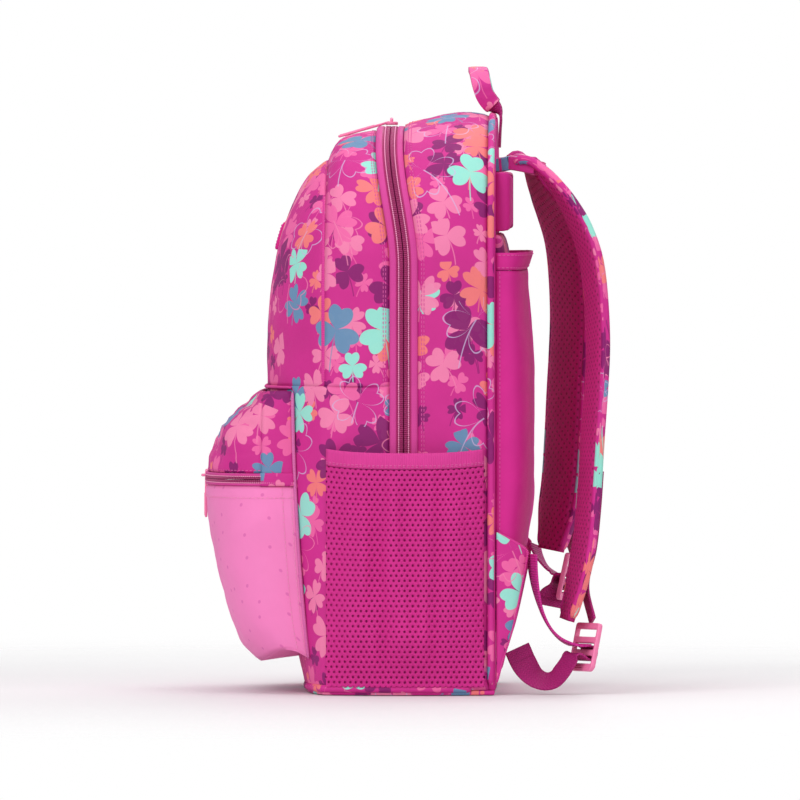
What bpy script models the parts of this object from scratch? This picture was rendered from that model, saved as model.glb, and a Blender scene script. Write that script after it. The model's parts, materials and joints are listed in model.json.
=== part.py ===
"""School backpack, built as separate sewn and moulded pieces.

Frame: metres, +Z up, origin at the centre of the base's underside. The front pocket faces -Y, the
shoulder straps are on the +Y side, and the width runs along X. Pieces that touch keep a small gap.
"""

import math

import bmesh
import bpy
from mathutils import Matrix, Vector

# ---- Driving dimensions ----
BODY_WIDTH = 0.310
FRONT_SEAM_Y = -0.059
REAR_SEAM_Y = 0.070
ZIP_Y = 0.003
FLAP_LINE_Z = 0.238  # where the front flap folds, along the top of the front pocket
SIDE_POCKET_TOP_Z = 0.190
FABRIC = 0.003  # padded wall
THIN_FABRIC = 0.0015
GAP = 0.0004
TAPE_HALF = 0.0105
WEBBING_WIDTH = 0.026
WEBBING_THICKNESS = 0.0018

# ---- Shape of the body ----
SIDE_TUCK = 0.008  # how far the seams lie inside the widest part of the gusset
WIDEST_Y = 0.008
SHOULDER_RISE = 0.130  # height of the rounded top of the arch
SHOULDER_POWER = 2.7
BULGE_POWER = 4.0
FOOT_Z = 0.004  # where the walls start, above the bottom panel
ZIP_LEAN = -0.012  # how far the zip leans forward at the top
LEAN_FROM_Z = 0.33
LEAN_OVER = 0.10
# (depth, height) of the top line, from the front seam to the rear seam
TOP_LINE = ((-0.059, 0.4130), (-0.047, 0.4265), (-0.030, 0.4320), (0.0, 0.4375), (0.024, 0.4435),
            (0.055, 0.4490), (0.072, 0.4470))
# (height, depth) of the front of the body along its centre line
FRONT_LINE = ((0.0, -0.074), (0.05, -0.086), (0.12, -0.097), (0.20, -0.104), (0.26, -0.105), (0.305, -0.1032),
              (0.35, -0.0950), (0.38, -0.0840), (0.40, -0.0735), (0.413, -0.0590))

# ---- Front pocket ----
POCKET_HALF_WIDTH = 0.124
POCKET_POWER = 3.5
POCKET_ZIP_Z = 0.1655
POCKET_HINGE_Y = -0.1075
POCKET_HINGE_Z = 0.2365
# (height, depth) of the front of the pocket along its centre line
POCKET_LINE = ((0.022, -0.1110), (0.040, -0.1260), (0.070, -0.1360), (0.118, -0.1470), (0.150, -0.1525),
               (0.166, -0.1525), (0.180, -0.1500), (0.196, -0.1455), (0.211, -0.1350), (0.2265, -0.1180),
               (0.2345, -0.1088), (0.2375, -0.1060))

# ---- Back ----
PANEL_REAR_Y = 0.0735
CUSHION_CROWN = 0.010
SLEEVE_HALF_WIDTH = 0.112
SLEEVE_DEPTH = 0.0110
SLEEVE_EDGE_Y = 0.0862
SLEEVE_BOTTOM_Z = 0.113
SLEEVE_TOP_Z = 0.3275

# ---- Straps ----
PAD_WIDTH = 0.058
PAD_THICKNESS = 0.011
LOCK_LEAN = 13  # degrees
# (depth behind the root, height) along the middle of a shoulder pad, from its root to its lower end
PAD_LINE = ((0.000, 0.4075), (0.007, 0.4125), (0.016, 0.4095), (0.027, 0.3990), (0.037, 0.3860),
            (0.046, 0.3710), (0.054, 0.3540), (0.0605, 0.3330), (0.0640, 0.3050), (0.0655, 0.2700),
            (0.0640, 0.2350), (0.0615, 0.2000), (0.0590, 0.1600), (0.0555, 0.1200), (0.0490, 0.0850),
            (0.0415, 0.0570))
PAD_ROOT_Y = 0.087
# Each strap: how far it hangs off the back, how much of the pad's drop it has, how much its middle bows
# out, the turns of its pad, its lock and the end of its webbing tail about the upright, in degrees, and
# the way the tail runs from the lock's bar.
STRAPS = {
    "right": {"side": 1, "reach": 1.0, "drop": 1.0, "bow": 0.010, "twist": 13, "lock_turn": 37, "tail_turn": 72,
              "tail": ((0.0072, -0.0120, -0.0205), (0.0072, -0.0160, -0.0265), (0.0060, -0.0205, -0.0335),
                       (0.0030, -0.0270, -0.0400), (0.0000, -0.0350, -0.0415), (-0.0020, -0.0430, -0.0375),
                       (-0.0030, -0.0500, -0.0280), (-0.0030, -0.0555, -0.0160))},
    "left": {"side": -1, "reach": 0.66, "drop": 0.865, "bow": 0.034, "twist": 30, "lock_turn": -20, "tail_turn": -78,
             "tail": ((-0.0036, -0.0110, -0.0165), (-0.0040, -0.0140, -0.0240), (-0.0040, -0.0168, -0.0310),
                      (-0.0040, -0.0185, -0.0390))},
}
STRAP_ROOT_X = 0.068
STRAP_END_X = 0.118
WING_TIP = Vector((0.1385, 0.0975, 0.1100))

COLOURS = {
    "magenta": (0.60, 0.03, 0.26),
    "magenta_dark": (0.43, 0.03, 0.20),
    "binding": (0.69, 0.07, 0.32),
    "rose": (0.89, 0.23, 0.52),
    "mesh": (0.58, 0.03, 0.24),
    "lining": (0.45, 0.05, 0.22),
    "coil": (0.37, 0.03, 0.14),
    "plastic": (0.83, 0.20, 0.39),
    "board": (0.06, 0.06, 0.07),
}


# ---- Small tools ----
def smooth_value(points, at):
    """A smooth curve through (position, value) points, read at one position."""
    last = len(points) - 1
    at = min(max(at, points[0][0]), points[last][0])
    i = next(k for k in range(last) if at <= points[k + 1][0])
    slopes = []
    for k in (i, i + 1):
        lo, hi = max(k - 1, 0), min(k + 1, last)
        slopes.append((points[hi][1] - points[lo][1]) / (points[hi][0] - points[lo][0]))
    span = points[i + 1][0] - points[i][0]
    t = (at - points[i][0]) / span
    a, b = points[i][1], points[i + 1][1]
    return (a * (2 * t**3 - 3 * t**2 + 1) + b * (3 * t**2 - 2 * t**3)
            + span * (slopes[0] * (t**3 - 2 * t**2 + t) + slopes[1] * (t**3 - t**2)))


def smooth_step(t):
    t = min(max(t, 0.0), 1.0)
    return t * t * (3 - 2 * t)


def between(a, b, count):
    """Evenly spaced values from a to b, both included."""
    return [a + (b - a) * i / (count - 1) for i in range(count)]


def power_rest(share, power):
    """The other coordinate of a superellipse whose first coordinate is share."""
    return (1 - min(abs(share), 1.0) ** power) ** (1 / power)


def material(name):
    found = bpy.data.materials.get(name)
    if found:
        return found
    made = bpy.data.materials.new(name)
    made.use_nodes = True
    shader = made.node_tree.nodes["Principled BSDF"]
    red, green, blue = COLOURS[name.split("-")[0]]
    shader.inputs["Base Color"].default_value = (red, green, blue, 1.0)
    shader.inputs["Roughness"].default_value = 0.35 if name.startswith("plastic") else 0.8
    shader.inputs["Metallic"].default_value = 0.0
    made.diffuse_color = (red, green, blue, 1.0)
    return made


def add_object(name, mesh_or_curve, colour):
    """One named piece in the backpack's collection, with a material of its own."""
    piece = bpy.data.objects.new(name, mesh_or_curve)
    PACK.objects.link(piece)
    mesh_or_curve.materials.append(material(f"{colour}-{name}"))
    return piece


def solid_mesh(name, bm, colour):
    """Ends a bmesh as a closed piece with its faces pointing out."""
    bmesh.ops.remove_doubles(bm, verts=bm.verts, dist=1e-6)
    bmesh.ops.recalc_face_normals(bm, faces=bm.faces)
    mesh = bpy.data.meshes.new(name)
    bm.to_mesh(mesh)
    bm.free()
    mesh.shade_smooth()
    mesh.set_sharp_from_angle(angle=math.radians(40))
    return add_object(name, mesh, colour)


def grid_faces(bm, rows):
    """Quads between rows of points. Returns the rows of vertices."""
    made = [[bm.verts.new(point) for point in row] for row in rows]
    for low, high in zip(made, made[1:]):
        for i in range(len(low) - 1):
            bm.faces.new((low[i], high[i], high[i + 1], low[i + 1]))
    return made


def shell(name, rows, thickness, colour):
    """An open surface through rows of points, thickened away from its normals."""
    bm = bmesh.new()
    grid_faces(bm, rows)
    mesh = bpy.data.meshes.new(name)
    bm.to_mesh(mesh)
    bm.free()
    mesh.shade_smooth()
    piece = add_object(name, mesh, colour)
    wall = piece.modifiers.new("Wall", "SOLIDIFY")
    wall.thickness = thickness
    wall.offset = -1.0
    wall.use_even_offset = True
    return piece


def filled_between(name, front_rows, rear_rows, colour):
    """A closed pad between two grids of the same layout."""
    bm = bmesh.new()
    front = grid_faces(bm, front_rows)
    rear = grid_faces(bm, rear_rows)

    def rim(grid):
        right = [row[-1] for row in grid[1:]]
        left = [row[0] for row in grid[-2:0:-1]]
        return grid[0] + right + grid[-1][-2::-1] + left

    a, b = rim(front), rim(rear)
    for i in range(len(a)):
        j = (i + 1) % len(a)
        bm.faces.new((a[i], a[j], b[j], b[i]))
    return solid_mesh(name, bm, colour)


def sweep(name, stations, colour):
    """A closed solid through loops of points of equal length, capped at both ends."""
    bm = bmesh.new()
    loops = [[bm.verts.new(point) for point in loop] for loop in stations]
    for low, high in zip(loops, loops[1:]):
        for i in range(len(low)):
            j = (i + 1) % len(low)
            bm.faces.new((low[i], low[j], high[j], high[i]))
    bm.faces.new(loops[0])
    bm.faces.new(loops[-1])
    return solid_mesh(name, bm, colour)


def flat_plate(name, outline, thickness, colour):
    """A flat outline in the local XY plane, filled and centred on that plane."""
    curve = bpy.data.curves.new(name, "CURVE")
    curve.dimensions = "2D"
    curve.fill_mode = "BOTH"
    curve.extrude = thickness / 2
    line = curve.splines.new("POLY")
    line.points.add(len(outline) - 1)
    for point, (x, y) in zip(line.points, outline):
        point.co = (x, y, 0.0, 1.0)
    line.use_cyclic_u = True
    return add_object(name, curve, colour)


def box(name, low, high, colour, bevel=0.0):
    size = Vector(high) - Vector(low)
    centre = (Vector(high) + Vector(low)) / 2
    bm = bmesh.new()
    bmesh.ops.create_cube(bm, size=1.0, matrix=Matrix.Diagonal((*size, 1.0)))
    piece = solid_mesh(name, bm, colour)
    piece.location = centre
    if bevel:
        edge = piece.modifiers.new("Edge", "BEVEL")
        edge.width = bevel
        edge.segments = 2
    return piece


def pivot(name, point, *pieces):
    """An empty on a joint's axis that carries the pieces that turn or slide with it."""
    empty = bpy.data.objects.new(name, None)
    empty.location = point
    PACK.objects.link(empty)
    for piece in pieces:
        piece.parent = empty
        piece.matrix_parent_inverse = Matrix.Translation(point).inverted()


def coons(bottom, right, top, left):
    """A grid of (x, z) points inside four edges. bottom and top run right to left, right and left run up."""
    rows = []
    for j, (r, s) in enumerate(zip(right, left)):
        t = j / (len(right) - 1)
        row = []
        for i, (b, p) in enumerate(zip(bottom, top)):
            u = i / (len(bottom) - 1)
            row.append(tuple(
                (1 - t) * b[k] + t * p[k] + (1 - u) * r[k] + u * s[k]
                - (1 - u) * (1 - t) * bottom[0][k] - u * (1 - t) * bottom[-1][k]
                - (1 - u) * t * top[0][k] - u * t * top[-1][k]
                for k in (0, 1)))
        rows.append(row)
    return rows


# ---- The body's outline ----
def crown_height(y):
    return smooth_value(TOP_LINE, y)


def half_width(y):
    return BODY_WIDTH / 2 - SIDE_TUCK * ((y - WIDEST_Y) / (REAR_SEAM_Y - WIDEST_Y)) ** 2


def arch_half_width(y, z):
    """Half the body's width at a depth and height."""
    spring = crown_height(y) - SHOULDER_RISE
    return half_width(y) * power_rest(max(z - spring, 0.0) / SHOULDER_RISE, SHOULDER_POWER)


def arch(y, foot, legs=5, bends=8, inset=0.0):
    """(x, z) points up the right side of the body, over the crown and down the left side."""
    spring = crown_height(y) - SHOULDER_RISE
    width = half_width(y) - inset
    rise = SHOULDER_RISE - inset
    right = [(width, z) for z in between(foot, spring, legs)]
    for i in range(1, bends + 1):
        angle = math.pi / 2 * i / bends
        x = width * max(math.cos(angle), 0.0) ** (2 / SHOULDER_POWER)
        right.append((x if i < bends else 0.0, spring + rise * math.sin(angle) ** (2 / SHOULDER_POWER)))
    return right + [(-x, z) for x, z in reversed(right[:-1])]


def leaned(x, y, z):
    """Shifts a point of the gusset with the forward lean of the zip, which fades out at both seams."""
    seam = REAR_SEAM_Y if y > ZIP_Y else FRONT_SEAM_Y
    tape = TAPE_HALF + GAP
    weight = 1 - max(abs(y - ZIP_Y) - tape, 0.0) / (abs(seam - ZIP_Y) - tape)
    return Vector((x, y + ZIP_LEAN * weight * smooth_step((z - LEAN_FROM_Z) / LEAN_OVER), z))


def gusset_rows(front_y, rear_y, foot, count):
    return [[leaned(x, y, z) for x, z in arch(y, foot)] for y in between(front_y, rear_y, count)]


def front_surface_y(x, z):
    """Depth of the outer face of the front panel."""
    crown = FRONT_SEAM_Y - smooth_value(FRONT_LINE, z)
    width = arch_half_width(FRONT_SEAM_Y, z)
    if width < 1e-6:
        return FRONT_SEAM_Y
    return FRONT_SEAM_Y - crown * (1 - min(abs(x) / width, 1.0) ** BULGE_POWER)


def arched_grid(y, foot, inset, up):
    """(x, z) grid that fills the arch at one depth."""
    line = arch(y, foot, legs=up - 2, bends=6, inset=inset)
    corner = up  # the shoulder point that ends each side edge
    right = line[:corner + 1]
    top = line[corner:len(line) - corner]
    left = [(-x, z) for x, z in right]
    width = right[0][0]
    count = len(top)
    bottom = [(width - 2 * width * i / (count - 1), foot) for i in range(count)]
    return coons(bottom, right, top, left)


# ---- Body, fixed parts ----
def build_body():
    zip_rear = ZIP_Y + TAPE_HALF + GAP
    zip_front = ZIP_Y - TAPE_HALF - GAP
    shell("rear_gusset", gusset_rows(zip_rear, REAR_SEAM_Y - 0.0032, FOOT_Z, 5), FABRIC, "magenta")

    rows = []
    for z in (FOOT_Z, 0.030, 0.070, 0.115, 0.160, 0.200, FLAP_LINE_Z - GAP):
        side = [(half_width(y), y) for y in between(zip_front, FRONT_SEAM_Y, 4)]
        width = side[-1][0]
        front = []
        for i in range(1, 14):
            x = width * math.cos(math.pi * i / 14)
            front.append((x, front_surface_y(x, z)))
        plan = side + front + [(-x, y) for x, y in reversed(side)]
        rows.append([(x, y, z) for x, y in plan])
    shell("lower_front_shell", rows, FABRIC, "magenta")

    outline = [(half_width(y) - GAP, y) for y in between(REAR_SEAM_Y + 0.0030, FRONT_SEAM_Y, 8)]
    width = outline[-1][0]
    front = []
    for i in range(1, 12):
        x = width * math.cos(math.pi * i / 12)
        front.append((x, front_surface_y(x, 0.0)))
    plan = outline + front + [(-x, y) for x, y in reversed(outline)]
    bottom = flat_plate("bottom_panel", plan, FOOT_Z - GAP, "magenta")
    bottom.location.z = (FOOT_Z - GAP) / 2

    panel = arched_grid(REAR_SEAM_Y, FOOT_Z, 0.0036, up=8)
    rows = [[(x, PANEL_REAR_Y, z) for x, z in reversed(row)] for row in panel]
    shell("back_panel", rows, 0.0070, "magenta")

    rim = arch(REAR_SEAM_Y, 0.008, legs=7, bends=10)
    curve = bpy.data.curves.new("rear_piping", "CURVE")
    curve.dimensions = "3D"
    curve.bevel_depth = 0.0026
    curve.bevel_resolution = 1
    curve.use_fill_caps = True
    line = curve.splines.new("POLY")
    line.points.add(len(rim) - 1)
    for point, (x, z) in zip(line.points, rim):
        point.co = (x, REAR_SEAM_Y, z, 1.0)
    add_object("rear_piping", curve, "binding")

    box("base_board", (-0.135, -0.058, FOOT_Z + GAP), (0.135, 0.058, FOOT_Z + 0.0030), "board")
    low = (-0.112, PANEL_REAR_Y - 0.0100, 0.010)
    high = (0.112, PANEL_REAR_Y - 0.0075, 0.395)
    box("back_board", low, high, "board")
    box("laptop_divider", (-0.130, 0.0440, 0.0080), (0.130, 0.0500, 0.2900), "lining", bevel=0.002)


def zip_half(name, side, foot, colour):
    """One tape of the main zip with its half of the coil, along the arch. side is -1 in front, +1 behind."""
    line = arch(ZIP_Y, foot)
    # (across from the middle of the zip, out from the tape's face)
    profile = ((TAPE_HALF, 0.0), (0.0028, 0.0), (0.0028, 0.0010), (0.0003, 0.0010), (0.0003, -0.0026),
               (0.0028, -0.0026), (0.0028, -0.0016), (TAPE_HALF, -0.0016))
    loops = []
    for i, (x, z) in enumerate(line):
        before, after = line[max(i - 1, 0)], line[min(i + 1, len(line) - 1)]
        along = Vector((after[0] - before[0], 0.0, after[1] - before[1])).normalized()
        out = Vector((along.z, 0.0, -along.x))
        centre = leaned(x, ZIP_Y, z)
        loops.append([centre + Vector((0.0, side * across, 0.0)) + out * up for across, up in profile])
    return sweep(name, loops, colour)


def build_zip_ends():
    """The stretch of tape below the flap line on each side, which stays sewn into the body."""
    for label, side in (("right", 1), ("left", -1)):
        rows = []
        for z in (FOOT_Z, 0.080, 0.160, FLAP_LINE_Z - GAP):
            row = [(side * half_width(y), y, z) for y in between(ZIP_Y + TAPE_HALF, ZIP_Y - TAPE_HALF, 3)]
            rows.append(row if side > 0 else row[::-1])
        shell(f"zip_end_{label}", rows, THIN_FABRIC, "coil")


# ---- Flap ----
def build_flap():
    zip_front = ZIP_Y - TAPE_HALF - GAP
    foot = FLAP_LINE_Z + GAP
    gusset = shell("front_gusset", gusset_rows(FRONT_SEAM_Y + 0.0026, zip_front, foot, 4), FABRIC, "magenta")
    grid = arched_grid(FRONT_SEAM_Y, foot, 0.0002, up=8)
    rows = [[(x, front_surface_y(x, z), z) for x, z in row] for row in grid]
    panel = shell("front_panel", rows, FABRIC, "magenta")
    tape = zip_half("zip_front_half", -1, foot, "coil")

    rows = []
    for z in between(0.3430, 0.3640, 4):
        rows.append([(x, front_surface_y(x, z) - 0.0030, z) for x in between(0.034, -0.034, 5)])
    label = shell("label_patch", rows, 0.0025, "magenta")
    fold = Vector((0.0, smooth_value(FRONT_LINE, FLAP_LINE_Z) - 0.0007, FLAP_LINE_Z + 0.0003))
    pivot("main_flap_pivot", fold, gusset, panel, tape, label)


def build_pull(name, root, length, droop):
    """A flat pull tab that lies forward from its root and droops by an angle."""
    half, neck = 0.0045, 0.0021
    outline = [(-neck, 0.0012), (-neck, -0.0045), (-half, -0.0085), (-half, -length + 0.003),
               (-half + 0.002, -length), (half - 0.002, -length), (half, -length + 0.003), (half, -0.0085),
               (neck, -0.0045), (neck, 0.0012)]
    tab = flat_plate(name, outline, 0.0018, "plastic")
    tab.location = root
    tab.rotation_euler.x = droop
    return tab


def build_slider(name, centre, facing):
    """A zip slider whose front edge has a notch for its pull. facing is 'up' or 'front'."""
    outline = [(-0.0065, 0.0045), (-0.0065, -0.0045), (-0.0026, -0.0045), (-0.0026, -0.0005),
               (0.0026, -0.0005), (0.0026, -0.0045), (0.0065, -0.0045), (0.0065, 0.0045)]
    slider = flat_plate(name, outline, 0.0040, "plastic")
    slider.location = centre
    if facing == "front":
        slider.rotation_euler.x = math.pi / 2
    return slider


def build_main_sliders():
    top = leaned(0.0, ZIP_Y, crown_height(ZIP_Y))
    for label, side in (("right", 1), ("left", -1)):
        centre = Vector((side * 0.009, top.y, top.z + 0.0010 + 0.0004 + 0.0020))
        build_slider(f"main_slider_{label}", centre, "up")
        root = centre + Vector((0.0, -0.0030, 0.0))
        build_pull(f"main_pull_{label}", root, 0.040, math.radians(16))


# ---- Front pocket ----
def pocket_plan(z, first, last, count):
    """Points along the pocket's outline at height z, between two shares of the way round from +X to -X."""
    rear = front_surface_y(POCKET_HALF_WIDTH - 0.0025, z) - 0.0006
    depth = rear - smooth_value(POCKET_LINE, z)
    points = []
    for share in between(first, last, count):
        angle = math.pi * share
        x = POCKET_HALF_WIDTH * math.copysign(abs(math.cos(angle)) ** (2 / POCKET_POWER), math.cos(angle))
        points.append((x, rear - depth * max(math.sin(angle), 0.0) ** (2 / POCKET_POWER), z))
    return points


def pocket_cut(z, y):
    """Share of the way round the pocket at height z where its outline reaches depth y."""
    rear = front_surface_y(POCKET_HALF_WIDTH - 0.0025, z) - 0.0006
    depth = rear - smooth_value(POCKET_LINE, z)
    sine = min(max((rear - y) / depth, 0.0), 1.0) ** (POCKET_POWER / 2)
    return math.asin(sine) / math.pi


def build_pocket():
    rows = []
    for tuck, z in ((0.030, 0.0215), (0.014, 0.0225)):  # the foot of the panel turns in under the pocket
        line = pocket_plan(z, 0.0, 1.0, 21)
        rows.append([(x, min(y + tuck, front_surface_y(x, z) - 0.0030), z) for x, y, z in line])
    for z in (0.030, 0.050, 0.080, 0.120, POCKET_ZIP_Z - 0.0045 - GAP):
        rows.append(pocket_plan(z, 0.0, 1.0, 21))
    shell("pocket_panel", rows, 0.0020, "rose")

    tape = [POCKET_ZIP_Z - 0.0045, POCKET_ZIP_Z - GAP]
    shell("pocket_zip_lower_tape", [pocket_plan(z, 0.0, 1.0, 21) for z in tape], THIN_FABRIC, "coil")

    for label, side in (("right", 1), ("left", -1)):
        rows = []
        for z in (POCKET_ZIP_Z + GAP, 0.185, 0.205, 0.220, 0.2315):
            cut = pocket_cut(z, POCKET_HINGE_Y + 0.0016)
            line = pocket_plan(z, 0.0, cut, 5)
            line = line if side > 0 else [(-x, y, z) for x, y, z in reversed(line)]
            rows.append(line)
        shell(f"pocket_shoulder_{label}", rows, 0.0020, "magenta")

    line = [(x, front_surface_y(x, POCKET_HINGE_Z), POCKET_HINGE_Z - 0.0002)
            for x in between(0.121, -0.121, 25)]
    section = ((-0.0008, -0.0009), (-0.0022, -0.0009), (-0.0022, 0.0012), (-0.0008, 0.0012))
    sweep("pocket_top_binding", [[(x, y + dy, z + dz) for dy, dz in section] for x, y, z in line], "binding")


def build_lid():
    def rows_between(levels):
        made = []
        for z in levels:
            cut = pocket_cut(z, POCKET_HINGE_Y)
            made.append(pocket_plan(z, cut, 1.0 - cut, 19))
        return made

    tape_top = POCKET_ZIP_Z + 0.0045
    tape = shell("lid_zip_tape", rows_between((POCKET_ZIP_Z, tape_top)), THIN_FABRIC, "coil")
    levels = (tape_top + GAP, 0.183, 0.197, 0.209, 0.2185, 0.2270, 0.2335)
    lid = shell("pocket_lid", rows_between(levels), 0.0020, "magenta")
    pivot("pocket_lid_pivot", Vector((0.0, POCKET_HINGE_Y, POCKET_HINGE_Z)), lid, tape)

    front = smooth_value(POCKET_LINE, POCKET_ZIP_Z) - 0.0006
    centre = Vector((-0.040, front - 0.0020, POCKET_ZIP_Z))
    build_slider("pocket_slider", centre, "front")
    build_pull("pocket_pull", centre + Vector((0.0, 0.0, -0.0030)), 0.030, math.radians(90))


# ---- Side pockets ----
def side_pocket_rows(levels, side):
    """Rows of the pouch on one side. It bows out from the gusset and is gathered in at its foot."""
    rows = []
    for z in levels:
        bow = 0.0135 * smooth_step((z - 0.004) / 0.045) * (1 - 0.15 * smooth_step((z - 0.09) / 0.10))
        row = []
        for share in between(0.0, 1.0, 9):
            y = -0.0570 + share * (REAR_SEAM_Y - 0.0050 + 0.0570)
            x = half_width(y) + THIN_FABRIC + 0.0006 + bow * (1 - abs(2 * share - 1) ** 3)
            row.append((side * x, y, z))
        rows.append(row[::-1] if side > 0 else row)
    return rows


def build_side_pockets():
    band = SIDE_POCKET_TOP_Z - 0.0130
    for label, side in (("right", 1), ("left", -1)):
        levels = (FOOT_Z + 0.0020, 0.018, 0.034, 0.060, 0.100, 0.140, band - GAP)
        shell(f"side_pocket_{label}", side_pocket_rows(levels, side), THIN_FABRIC, "mesh")
        rows = side_pocket_rows((band, SIDE_POCKET_TOP_Z), side)
        shell(f"side_pocket_binding_{label}", rows, THIN_FABRIC, "binding")


# ---- Back, fixed parts ----
def pad_between(name, half, low, high, rear_y, crown, colour):
    """A padded block on the back panel whose rear face is crowned."""
    front_rows, rear_rows = [], []
    for z in between(low, high, 7):
        up = abs(2 * (z - low) / (high - low) - 1)
        front_rows.append([(x, rear_y, z) for x in between(half, -half, 9)])
        rear_rows.append([
            (x, rear_y + 0.0020 + (crown - 0.0020) * power_rest(up, 4) * power_rest(x / half, 4), z)
            for x in between(half, -half, 9)])
    return filled_between(name, front_rows, rear_rows, colour)


def sleeve_plan(flare):
    """Outer face of the trolley sleeve seen from above, from its +X edge to its -X edge."""
    points = []
    for i in range(13):
        x = SLEEVE_HALF_WIDTH * math.cos(math.pi * i / 12)
        rise = power_rest(x / SLEEVE_HALF_WIDTH, 3)
        points.append((x, SLEEVE_EDGE_Y + (SLEEVE_DEPTH + flare) * rise))
    return points


def build_back():
    seat = PANEL_REAR_Y + GAP
    pad_between("back_cushion", 0.134, 0.045, 0.3560, seat, CUSHION_CROWN, "magenta")
    pad_between("yoke_pad", 0.118, 0.3585, 0.4010, seat, 0.0110, "magenta")
    sleeve = [(z, 0.0) for z in (SLEEVE_BOTTOM_Z, 0.19, 0.26, SLEEVE_TOP_Z - GAP)]
    hem = [(SLEEVE_TOP_Z, 0.0), (0.341, 0.0045)]
    parts = (("trolley_sleeve", sleeve, "magenta"), ("trolley_sleeve_hem", hem, "binding"))
    for name, levels, colour in parts:
        rows = [[(x, y, z) for x, y in reversed(sleeve_plan(flare))] for z, flare in levels]
        shell(name, rows, THIN_FABRIC, colour)

    # A wing is a flat triangle of padded fabric sewn along the rear seam, with the webbing at its tip.
    outline = [(0.0, 0.126), (0.0235, 0.1125), (0.0250, 0.1070), (0.0190, 0.0770), (0.0120, 0.0480),
               (0.0050, 0.0270), (0.0, 0.0080)]
    for label, side in (("right", 1), ("left", -1)):
        wing = flat_plate(f"wing_{label}", outline, 0.0040, "magenta")
        stand = Matrix.Rotation(math.pi / 2, 4, "X")
        turn = Matrix.Rotation(math.pi / 2 + side * math.radians(18), 4, "Z")
        wing.matrix_world = Matrix.Translation((side * 0.1455, REAR_SEAM_Y + 0.0045, 0.0)) @ turn @ stand


# ---- Webbing ----
def smooth_line(points, count):
    """Points along a smooth curve through a few 3-D points."""
    tables = [[(i, p[axis]) for i, p in enumerate(points)] for axis in range(3)]
    last = len(points) - 1
    return [Vector([smooth_value(table, at) for table in tables]) for at in between(0, last, count)]


def band_loops(line, across, widths, thicknesses, chamfer=0.0):
    """Cross-sections of a flat band along a line. across(i) is the direction of its width."""
    loops = []
    for i, centre in enumerate(line):
        along = (line[min(i + 1, len(line) - 1)] - line[max(i - 1, 0)]).normalized()
        side = across(i)
        side = (side - along * side.dot(along)).normalized()
        face = along.cross(side)
        w, t = widths(i) / 2, thicknesses(i) / 2
        c = min(chamfer, 0.8 * t)
        if c:
            corners = ((w, t - c), (w - 2 * c, t), (-w + 2 * c, t), (-w, t - c),
                       (-w, c - t), (-w + 2 * c, -t), (w - 2 * c, -t), (w, c - t))
        else:
            corners = ((w, t), (-w, t), (-w, -t), (w, -t))
        loops.append([centre + side * a + face * b for a, b in corners])
    return loops


def webbing(name, points, count, turns=(0, 0)):
    """A strip of webbing. Its width lies along X, turned about the upright by an angle at each end."""
    line = smooth_line(points, count)

    def across(i):
        turn = math.radians(turns[0] + (turns[1] - turns[0]) * smooth_step(i / (count - 1)))
        return Vector((math.cos(turn), math.sin(turn), 0.0))

    loops = band_loops(line, across, lambda i: WEBBING_WIDTH, lambda i: WEBBING_THICKNESS)
    return sweep(name, loops, "magenta_dark")


# ---- Carry handle ----
def build_handle():
    """A loop of webbing that is sewn flat to the back, turns by a quarter and runs through a sleeve."""
    leg = [(0.0300, 0.0752, 0.4220), (0.0300, 0.0762, 0.4380), (0.0320, 0.0768, 0.4505),
           (0.0345, 0.0715, 0.4605), (0.0330, 0.0640, 0.4705), (0.0215, 0.0595, 0.4800),
           (0.0, 0.0580, 0.4825)]
    line = smooth_line(leg, 19)
    turned = [math.radians(90) * smooth_step((i - 4.5) / 4.0) for i in range(len(line))]
    line = line + [Vector((-p.x, p.y, p.z)) for p in reversed(line[:-1])]
    turned = turned + [math.pi - angle for angle in reversed(turned[:-1])]

    def across(i):
        return Vector((math.cos(turned[i]), math.sin(turned[i]), 0.0))

    loops = band_loops(line, across, lambda i: 0.0145, lambda i: 0.0016)
    strip = sweep("handle_webbing", loops, "magenta_dark")

    first = 8
    last = len(line) - 1 - first
    outer = band_loops(line, across, lambda i: 0.0172, lambda i: 0.0050, chamfer=0.0010)[first:last + 1]
    inner = band_loops(line, across, lambda i: 0.0151, lambda i: 0.0022, chamfer=0.0003)[first:last + 1]
    bm = bmesh.new()
    outer = [[bm.verts.new(p) for p in loop] for loop in outer]
    inner = [[bm.verts.new(p) for p in loop] for loop in inner]
    for wall in (outer, inner):
        for low, high in zip(wall, wall[1:]):
            for i in range(len(low)):
                j = (i + 1) % len(low)
                bm.faces.new((low[i], low[j], high[j], high[i]))
    for end in (0, -1):
        for i in range(len(outer[end])):
            j = (i + 1) % len(outer[end])
            bm.faces.new((outer[end][i], outer[end][j], inner[end][j], inner[end][i]))
    sleeve = solid_mesh("handle_sleeve", bm, "magenta")
    pivot("handle_pivot", Vector(leg[0]) * Vector((0.0, 1.0, 1.0)), strip, sleeve)


# ---- Shoulder straps ----
def pad_width(share):
    """Width of a shoulder pad at a share of its length, narrower at its root and at its lower end."""
    widening = (PAD_WIDTH - 0.036) * smooth_step(share / 0.16)
    return 0.036 + widening - 0.018 * smooth_step((share - 0.88) / 0.12)


def pad_thickness(share):
    filling = (PAD_THICKNESS - 0.006) * smooth_step(share / 0.12)
    return 0.006 + filling - 0.004 * smooth_step((share - 0.9) / 0.1)


def pad_points(side, reach, drop, bow):
    """The middle of a shoulder pad, from its root to its lower end."""
    top = PAD_LINE[0][1]
    points = []
    for i, (depth, height) in enumerate(PAD_LINE):
        share = i / (len(PAD_LINE) - 1)
        swing = (STRAP_END_X - STRAP_ROOT_X) * smooth_step(share)
        x = STRAP_ROOT_X + swing + bow * math.sin(math.pi * share) ** 2
        points.append(Vector((side * x, PAD_ROOT_Y + depth * reach, top - (top - height) * drop)))
    return points


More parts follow.
